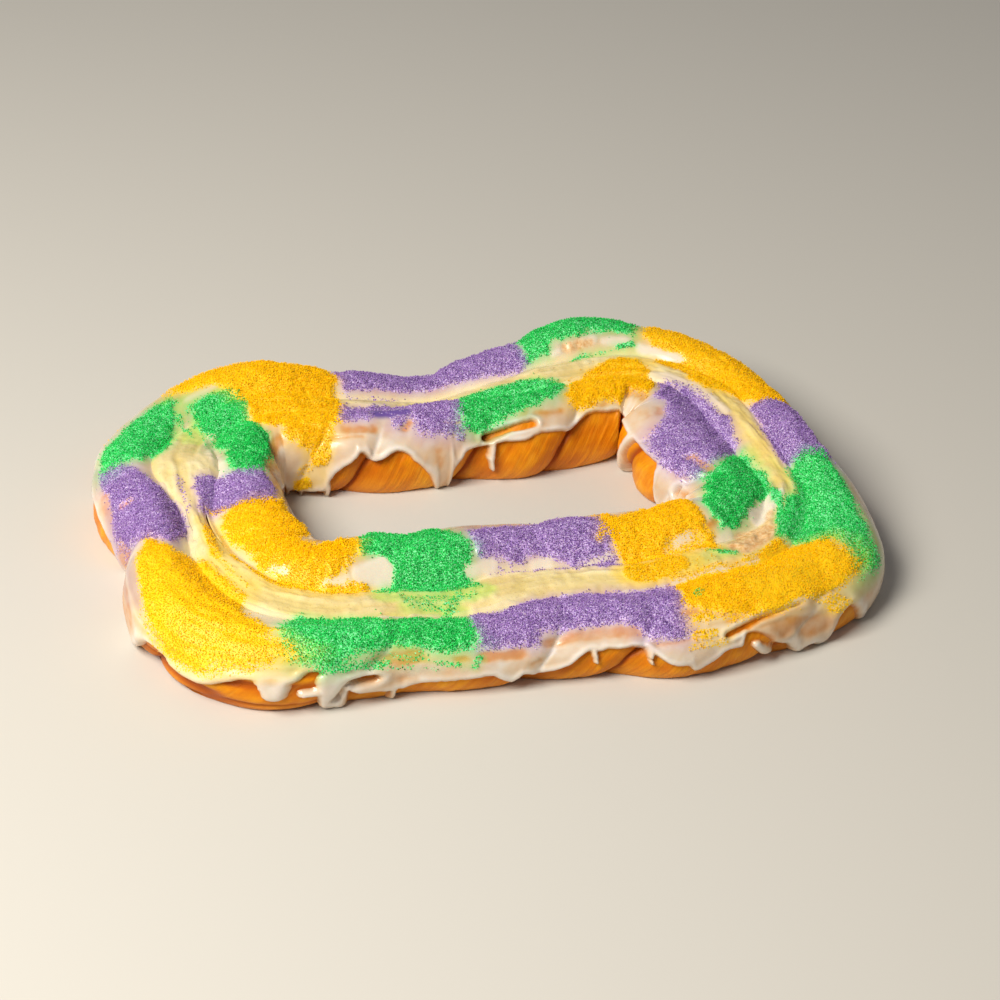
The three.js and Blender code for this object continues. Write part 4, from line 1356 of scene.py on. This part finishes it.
def make_sugar_coat():
    group, ins, outs = start_group(
        "sugar coat",
        [("Colour", "Color")] + [(name, "Float") for name in SUGARS + HAZES],
        [("Colour", "Color"), ("Cover", "Float"), ("Height", "Float")],
    )
    place = group.nodes.new("ShaderNodeTexCoord")
    cells = group.nodes.new("ShaderNodeTexVoronoi")
    cells.inputs["Scale"].default_value = GRAIN_CELLS
    group.links.new(place.outputs["Object"], cells.inputs["Vector"])
    dice = group.nodes.new("ShaderNodeSeparateColor")
    group.links.new(cells.outputs["Color"], dice.inputs["Color"])
    colour, cover = ins["Colour"], 0.0
    for name in SUGARS:
        # a cell's colour by its dice: painted shade, the sugar's own colour or a painted glint
        own = ramp(group, dice.outputs["Green"], list(zip(CELL_TONES, SUGAR_SHADE_COLOUR_GLINT[name])))
        haze = maths(group, "MULTIPLY", ins[name + "_haze"], SUGAR_TINT)
        colour = blend(group, haze, colour, SUGAR_SHADE_COLOUR_GLINT[name][1])
        strewn = maths(group, "GREATER_THAN", ins[name], level(group, dice.outputs["Red"], *SHARE_DICE))
        colour = blend(group, strewn, colour, own)
        cover = maths(group, "MAXIMUM", cover, strewn)
    group.links.new(colour, outs["Colour"])
    group.links.new(cover, outs["Cover"])
    group.links.new(maths(group, "MULTIPLY", cells.outputs["Distance"], cover), outs["Height"])
    return group


SUGAR_COAT = make_sugar_coat()
print(SUGAR_COAT.name, "is a group of", len(SUGAR_COAT.nodes), "nodes")

# %% [markdown]
# Every finish is one Principled shader. Values that are the same all over a piece are set on its own
# sockets, and only what changes over the surface is linked.


# %% Start a finish
def place_group(tree, group, **values):
    """A group in a material, with its inputs linked or set, and its outputs."""
    node = tree.nodes.new("ShaderNodeGroup")
    node.node_tree = group
    for key, value in values.items():
        connect(tree, value, node.inputs[key])
    return node.outputs


def start_material(name, **plain):
    """A material whose shader has plain values, its node tree and its shader."""
    material = bpy.data.materials.new(name)
    material.use_nodes = True
    tree = material.node_tree
    shader = tree.nodes["Principled BSDF"]
    for key, value in plain.items():
        shader.inputs[key.replace("_", " ")].default_value = value
    return material, tree, shader


def add_bump(tree, shader, source, strength, distance):
    """Fine relief, at most so many metres deep."""
    node = tree.nodes.new("ShaderNodeBump")
    node.inputs["Strength"].default_value = strength
    node.inputs["Distance"].default_value = distance
    tree.links.new(source, node.inputs["Height"])
    tree.links.new(node.outputs["Normal"], shader.inputs["Normal"])


def with_toppings(tree, colour):
    """A ground colour under its stains, torn places and sugar: the sugar coat's outputs."""
    marks = {name: attribute(tree, name) for name in list(STAIN_COLOURS) + ["torn"]}
    stained = place_group(tree, STAIN, Colour=colour, **marks)
    marks = {name: attribute(tree, name) for name in SUGARS + HAZES}
    return place_group(tree, SUGAR_COAT, Colour=stained["Colour"], **marks)


print("node groups to place:", ", ".join(group.name for group in bpy.data.node_groups))

# %% [markdown]
# The crust is a thin brown layer on a pale dough. Its colour holds painted light and shade: golden on
# the crowns of the ripples, browner in their hollows and darker in folds, seams and cracks. It is paler
# along the foot, which lay on the tray. One brown all over would look like clay, and a noise alone
# wouldn't follow the dough, so the marks of the mesh drive the colour and two mottles break it up. Fine
# stretch marks follow the strand's own coordinates.

# %% The crust's finish
# painted shade in a ripple's hollow, rising to painted light on its crown
CRUST_SHADE_TO_LIGHT = [  # from the bottom of a ripple to its top
    (0.0, linear(206, 104, 2)), (0.3, linear(242, 150, 6)), (0.6, linear(252, 168, 10)),
    (1.0, linear(255, 190, 40)),
]
CRUST_PATCHES = {"Patches": linear(224, 112, 2), "Scale": 38.0, "Amount": 0.5}
CRUST_BLOTCHES = {"Patches": linear(222, 118, 3), "Scale": 150.0, "Amount": 0.4}
STRETCH_SCALE, STRETCH_DETAIL = 0.5, 5
# for each colour that is laid over it: the mark's or noise's values, and the shares at both
DARK_STRETCH, TO_DARK_STRETCH = linear(210, 106, 2), (0.5, 0.68, 0, 0.34)
PALE_STRETCH, TO_PALE_STRETCH = linear(255, 190, 66), (0.44, 0.3, 0, 0.26)
PALE_FOOT, TO_PALE_FOOT = linear(240, 176, 88), (0.02, 0.15, 0.45, 0.0)
# painted shade, laid over the crust as far as the fold mark says
FOLD_SHADE_COLOUR = linear(174, 80, 0)
PORE_SCALE, PORE_DETAIL, PORE_HEIGHT = 1100, 3, 0.4
CRUST_BUMP = (0.6, 0.0007)


def crust_finish():
    material, tree, shader = start_material(
        "crust", Roughness=0.44, Specular_IOR_Level=0.2, Coat_Weight=0.05, Coat_Roughness=0.3,
    )
    colour = ramp(tree, attribute(tree, "ripple"), CRUST_SHADE_TO_LIGHT)
    for patches in (CRUST_PATCHES, CRUST_BLOTCHES):
        colour = place_group(tree, MOTTLE, Colour=colour, **patches)["Colour"]
    stretch = noise(tree, STRETCH_SCALE, STRETCH_DETAIL, attribute(tree, "strand", "Vector"))
    colour = blend(tree, level(tree, stretch, *TO_DARK_STRETCH), colour, DARK_STRETCH)
    colour = blend(tree, level(tree, stretch, *TO_PALE_STRETCH), colour, PALE_STRETCH)
    colour = blend(tree, level(tree, attribute(tree, "rise"), *TO_PALE_FOOT), colour, PALE_FOOT)
    colour = blend(tree, attribute(tree, "fold"), colour, FOLD_SHADE_COLOUR)
    tree.links.new(colour, shader.inputs["Base Color"])
    pores = maths(tree, "MULTIPLY", noise(tree, PORE_SCALE, PORE_DETAIL), PORE_HEIGHT)
    add_bump(tree, shader, maths(tree, "ADD", pores, stretch), *CRUST_BUMP)
    print("crust: golden on", CRUST_SHADE_TO_LIGHT[-1][0], "of a ripple, with", len(tree.nodes), "nodes")
    return material


crust = crust_finish()

# %% [markdown]
# Poured icing is sugar and milk. Where it is thick it is nearly white, and as it thins the crust shows
# through. Real see-through icing would be slow to render and is lost when the cake is exported, so its
# thickness picks the colour from a ramp that starts at the crust's own amber. A little light scatters
# inside it, and its bare parts have a wet shine that the sugar takes away.

# %% The icing's finish
ICING_COLOURS = [  # from no icing to its full thickness
    (0.02, linear(208, 124, 34)), (0.22, linear(216, 148, 78)), (0.45, linear(225, 192, 153)),
    (0.7, linear(228, 208, 182)), (1.0, linear(238, 228, 214)),
]
CLOUD_SCALE, CLOUD_DETAIL, CLOUD_SHARE = 160, 3, (0.3, 0.7, -0.07, 0.07)
ICING_PATCHES = {"Patches": linear(214, 176, 136), "Scale": 60.0, "Amount": 0.35}
CREAMY_COLOUR, CREAMY_SHARE = linear(243, 224, 170), 0.85
ICING_ROUGHNESS = (0, 1, 0.26, 0.5)  # bare and under sugar
ICING_SHINE = (0, 1, 0.25, 0.0)
ICING_FINE, ICING_FINE_HEIGHT = (260, 2), 0.3  # a noise's scale and detail, and its share
ICING_BUMP = (0.3, 0.0006)


def icing_finish():
    material, tree, shader = start_material(
        "icing", Subsurface_Weight=0.12, Subsurface_Radius=(1.0, 0.6, 0.35), Subsurface_Scale=0.002,
        Coat_Roughness=0.22,
    )
    cloud = level(tree, noise(tree, CLOUD_SCALE, CLOUD_DETAIL), *CLOUD_SHARE)
    milky = ramp(tree, maths(tree, "ADD", attribute(tree, "thick"), cloud), ICING_COLOURS)
    warm = place_group(tree, MOTTLE, Colour=milky, **ICING_PATCHES)
    share = maths(tree, "MULTIPLY", attribute(tree, "creamy"), CREAMY_SHARE)
    coat = with_toppings(tree, blend(tree, share, warm["Colour"], CREAMY_COLOUR))
    tree.links.new(coat["Colour"], shader.inputs["Base Color"])
    tree.links.new(level(tree, coat["Cover"], *ICING_ROUGHNESS), shader.inputs["Roughness"])
    tree.links.new(level(tree, coat["Cover"], *ICING_SHINE), shader.inputs["Coat Weight"])
    fine = maths(tree, "MULTIPLY", noise(tree, *ICING_FINE), ICING_FINE_HEIGHT)
    add_bump(tree, shader, maths(tree, "ADD", coat["Height"], fine), *ICING_BUMP)
    print("icing:", len(ICING_COLOURS), "shades from thin to thick, with", len(tree.nodes), "nodes")
    return material


poured_icing = icing_finish()

# %% [markdown]
# The cream is a soft pale yellow with a few brown specks. Its finish paints it paler on the tops of its
# ridges and darker in the hollows, as painted light and shade, and darker towards its edges, where it
# meets the dough and icing, as painted shade. One yellow all over would look like plastic, and painting
# the ridges by hand wouldn't follow the relief, so the ridge mark picks the colour. It shines less than
# the icing.

# %% The cream's finish
# painted shade in a hollow, rising to painted light on the top of a ridge
CREAM_SHADE_TO_LIGHT = [  # from a hollow to the top of a ridge
    (0.2, linear(226, 202, 130)), (0.5, linear(240, 218, 156)), (0.8, linear(248, 233, 182)),
]
CREAM_PATCHES = {"Patches": linear(232, 202, 124), "Scale": 45.0, "Amount": 0.5}
# painted shade towards the cream's edges, where it meets the dough and icing
EDGE_SHADE, TO_EDGE_SHADE = linear(216, 176, 112), (0, 1, 0, 0.6)
SPECK, TO_SPECK = linear(190, 156, 96), (0.66, 0.76, 0.0, 0.5)
SPECK_SCALE, SPECK_DETAIL = 700, 1
CREAM_ROUGHNESS = (0, 1, 0.4, 0.5)  # bare and under sugar
CREAM_FINE, CREAM_FINE_HEIGHT = (240, 4), 0.9
CREAM_BUMP = (0.5, 0.0009)


def cream_finish():
    material, tree, shader = start_material(
        "cream", Subsurface_Weight=0.12, Subsurface_Radius=(1.0, 0.8, 0.4), Subsurface_Scale=0.002,
        Specular_IOR_Level=0.4, Coat_Weight=0.12, Coat_Roughness=0.3,
    )
    colour = ramp(tree, attribute(tree, "ridge"), CREAM_SHADE_TO_LIGHT)
    colour = place_group(tree, MOTTLE, Colour=colour, **CREAM_PATCHES)["Colour"]
    colour = blend(tree, level(tree, attribute(tree, "edge"), *TO_EDGE_SHADE), colour, EDGE_SHADE)
    speck = level(tree, noise(tree, SPECK_SCALE, SPECK_DETAIL), *TO_SPECK)
    coat = with_toppings(tree, blend(tree, speck, colour, SPECK))
    tree.links.new(coat["Colour"], shader.inputs["Base Color"])
    tree.links.new(level(tree, coat["Cover"], *CREAM_ROUGHNESS), shader.inputs["Roughness"])
    fine = maths(tree, "MULTIPLY", noise(tree, *CREAM_FINE), CREAM_FINE_HEIGHT)
    add_bump(tree, shader, maths(tree, "ADD", coat["Height"], fine), *CREAM_BUMP)
    print("cream:", len(CREAM_SHADE_TO_LIGHT), "shades from hollow to ridge, with", len(tree.nodes), "nodes")
    return material


whipped_cream = cream_finish()

# %% [markdown]
# Each grain carries a tone, a random number that picks its colour: most take the sugar's own colour, some
# a darker one that is painted shade, as between grains, and a few a pale one that is a painted glint, and
# patches of the darker one paint shade over clumps. The grains are solid and not clear, because their
# shape and their pale tones give the sparkle, and a hundred thousand clear ones would take very long to
# render.
# Gold sugar glints least, or it turns white.

# %% The sugar's finish
SUGAR_GLINT = {"purple": 0.4, "green": 0.3, "gold": 0.15}
# the ramp runs from painted shade through the sugar's own colour to a painted glint
GRAIN_TONES = (0.0, 0.3, 0.85, 1.0)  # dark, then the common shade between the middle two, then bright
# patches of the darker colour, painted shade over clumps of grains
SUGAR_SHADE_PATCHES = {"Scale": 170.0, "Amount": 0.4}


def sugar_finish(name):
    material, tree, shader = start_material(
        "sugar_" + name, Roughness=0.4, Specular_IOR_Level=SUGAR_GLINT[name],
    )
    gap_shade, grain, glint = SUGAR_SHADE_COLOUR_GLINT[name]
    toned = ramp(tree, attribute(tree, "tone"), list(zip(GRAIN_TONES, (gap_shade, grain, grain, glint))))
    shade_patched = place_group(tree, MOTTLE, Colour=toned, Patches=gap_shade, **SUGAR_SHADE_PATCHES)
    tree.links.new(shade_patched["Colour"], shader.inputs["Base Color"])
    return material


sugar_materials = {name: sugar_finish(name) for name in SUGARS}
print("sugar:", ", ".join(material.name for material in sugar_materials.values()))

# %% [markdown]
# ## Dress the cake
#
# Every piece rides on the body of the solids, because nothing on a cake moves by itself. The dough, the
# cream and both skins of icing take the place of their plain solids. The sugar lies on the icing and
# replaces nothing of its own.

# %% Put each finish on its piece and set it on the cake
def set_on_cake(piece, material, slot, *nodes):
    piece.data.materials.append(material)
    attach(piece, "root")
    if nodes:
        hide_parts(*nodes)


set_on_cake(dough, crust, "crust", "dough_ring")
set_on_cake(cream, whipped_cream, "cream", "cream_filling")
for side in SIDES:
    set_on_cake(icing[side], poured_icing, "icing", "icing_" + side)
for (colour, side), piece in sugar.items():
    set_on_cake(piece, sugar_materials[colour], "sugar_" + colour)
print("pieces on the cake:", 2 + len(icing) + len(sugar))

# %% [markdown]
# ## Floor, light and camera
#
# A plain pale floor keeps the eye on the cake and takes its shadow. It is only a stage and no part of
# the cake, and it is big enough that its edge is never seen.

# %% The floor
FLOOR_REACH = 6.0  # metres from its middle to each edge
FLOOR_COLOUR = linear(212, 207, 196)


def make_floor():
    plate = bmesh.new()
    bmesh.ops.create_grid(plate, x_segments=1, y_segments=1, size=FLOOR_REACH)
    mesh = bpy.data.meshes.new("floor")
    plate.to_mesh(mesh)
    plate.free()
    floor = bpy.data.objects.new("floor", mesh)
    bpy.context.collection.objects.link(floor)
    material, _, _ = start_material(
        "floor", Roughness=0.9, Specular_IOR_Level=0.0, Base_Color=FLOOR_COLOUR,
    )
    mesh.materials.append(material)
    floor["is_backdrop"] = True
    print(f"the floor is {2 * FLOOR_REACH:.0f} m wide")


make_floor()

# %% [markdown]
# One large lamp at the left, like a window, gives soft shadows that show the twists and the grains. A
# weak second one lifts the shadows in front, and the room adds a little light from all round. A small
# lamp would make hard shadows, and equal light from all sides would flatten the relief.

# %% Lights
LAMPS = [  # name, place and width in metres, watts, colour
    ("key", (-1.25, -0.5, 1.45), 1.0, 51, (1.0, 0.965, 0.91)),
    ("fill", (1.0, -1.5, 1.0), 1.4, 0.3, (1.0, 0.98, 0.96)),
]
ROOM_COLOUR, ROOM_STRENGTH = (0.9, 0.92, 1.0, 1.0), 0.17


def add_lamp(name, place, size, power, colour):
    """A square lamp that shines on the middle of the cake."""
    data = bpy.data.lights.new(name, "AREA")
    data.shape, data.size = "SQUARE", size
    data.energy, data.color = power, colour
    lamp = bpy.data.objects.new(name, data)
    bpy.context.collection.objects.link(lamp)
    lamp.location = place
    lamp.rotation_mode = "QUATERNION"
    lamp.rotation_quaternion = Vector(place).to_track_quat("Z", "Y")  # it shines along its -Z
    print(f"{name}: {power} W over {size} m, {lamp.location.length:.1f} m away")


for lamp in LAMPS:
    add_lamp(*lamp)
world = bpy.data.worlds.new("room")
world.use_nodes = True
world.node_tree.nodes["Background"].inputs["Color"].default_value = ROOM_COLOUR
world.node_tree.nodes["Background"].inputs["Strength"].default_value = ROOM_STRENGTH
bpy.context.scene.world = world
bpy.context.scene.view_settings.view_transform = "Standard"

# %% [markdown]
# A long lens from well away keeps the legs of the ring nearly parallel, as they look on a table across
# the room. The camera stands to the left and above, so that the groove, both sides of the ring and the
# hole can all be seen at once. It rolls a little, so its three directions are written out.

# %% Camera
SENSOR, LENS = 36.0, 101.005  # millimetres
NEAR, FAR = 0.05, 20.0  # metres between which it sees
CAMERA_PLACE = (-0.48085, -1.32261, 0.91539)
CAMERA_RIGHT = (0.94410, -0.32727, 0.03955)
CAMERA_DOWN = (-0.14358, -0.51623, -0.84433)
CAMERA_FORWARD = (0.29675, 0.79145, -0.53436)


def make_camera():
    data = bpy.data.cameras.new("camera")
    data.sensor_width, data.lens = SENSOR, LENS
    data.clip_start, data.clip_end = NEAR, FAR
    camera = bpy.data.objects.new("camera", data)
    bpy.context.collection.objects.link(camera)
    rows = zip(CAMERA_RIGHT, CAMERA_DOWN, CAMERA_FORWARD, CAMERA_PLACE)
    camera.matrix_world = Matrix([
        (right, -down, -forward, place) for right, down, forward, place in rows
    ] + [(0, 0, 0, 1)])
    bpy.context.scene.camera = camera
    print(f"the camera is {Vector(CAMERA_PLACE).length:.2f} m from the cake")


make_camera()

# %% [markdown]
# ## Is it still the same size?
#
# The finished pieces should fill the solids' box and not stand out of it. We measure them all once more
# and print both boxes, in millimetres.

# %% Compare the sizes and finish
corners = {"solids": solid_box, "pieces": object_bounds()}
for name, box in corners.items():
    print(name, [[round(value / MM, 1) for value in corner] for corner in box])
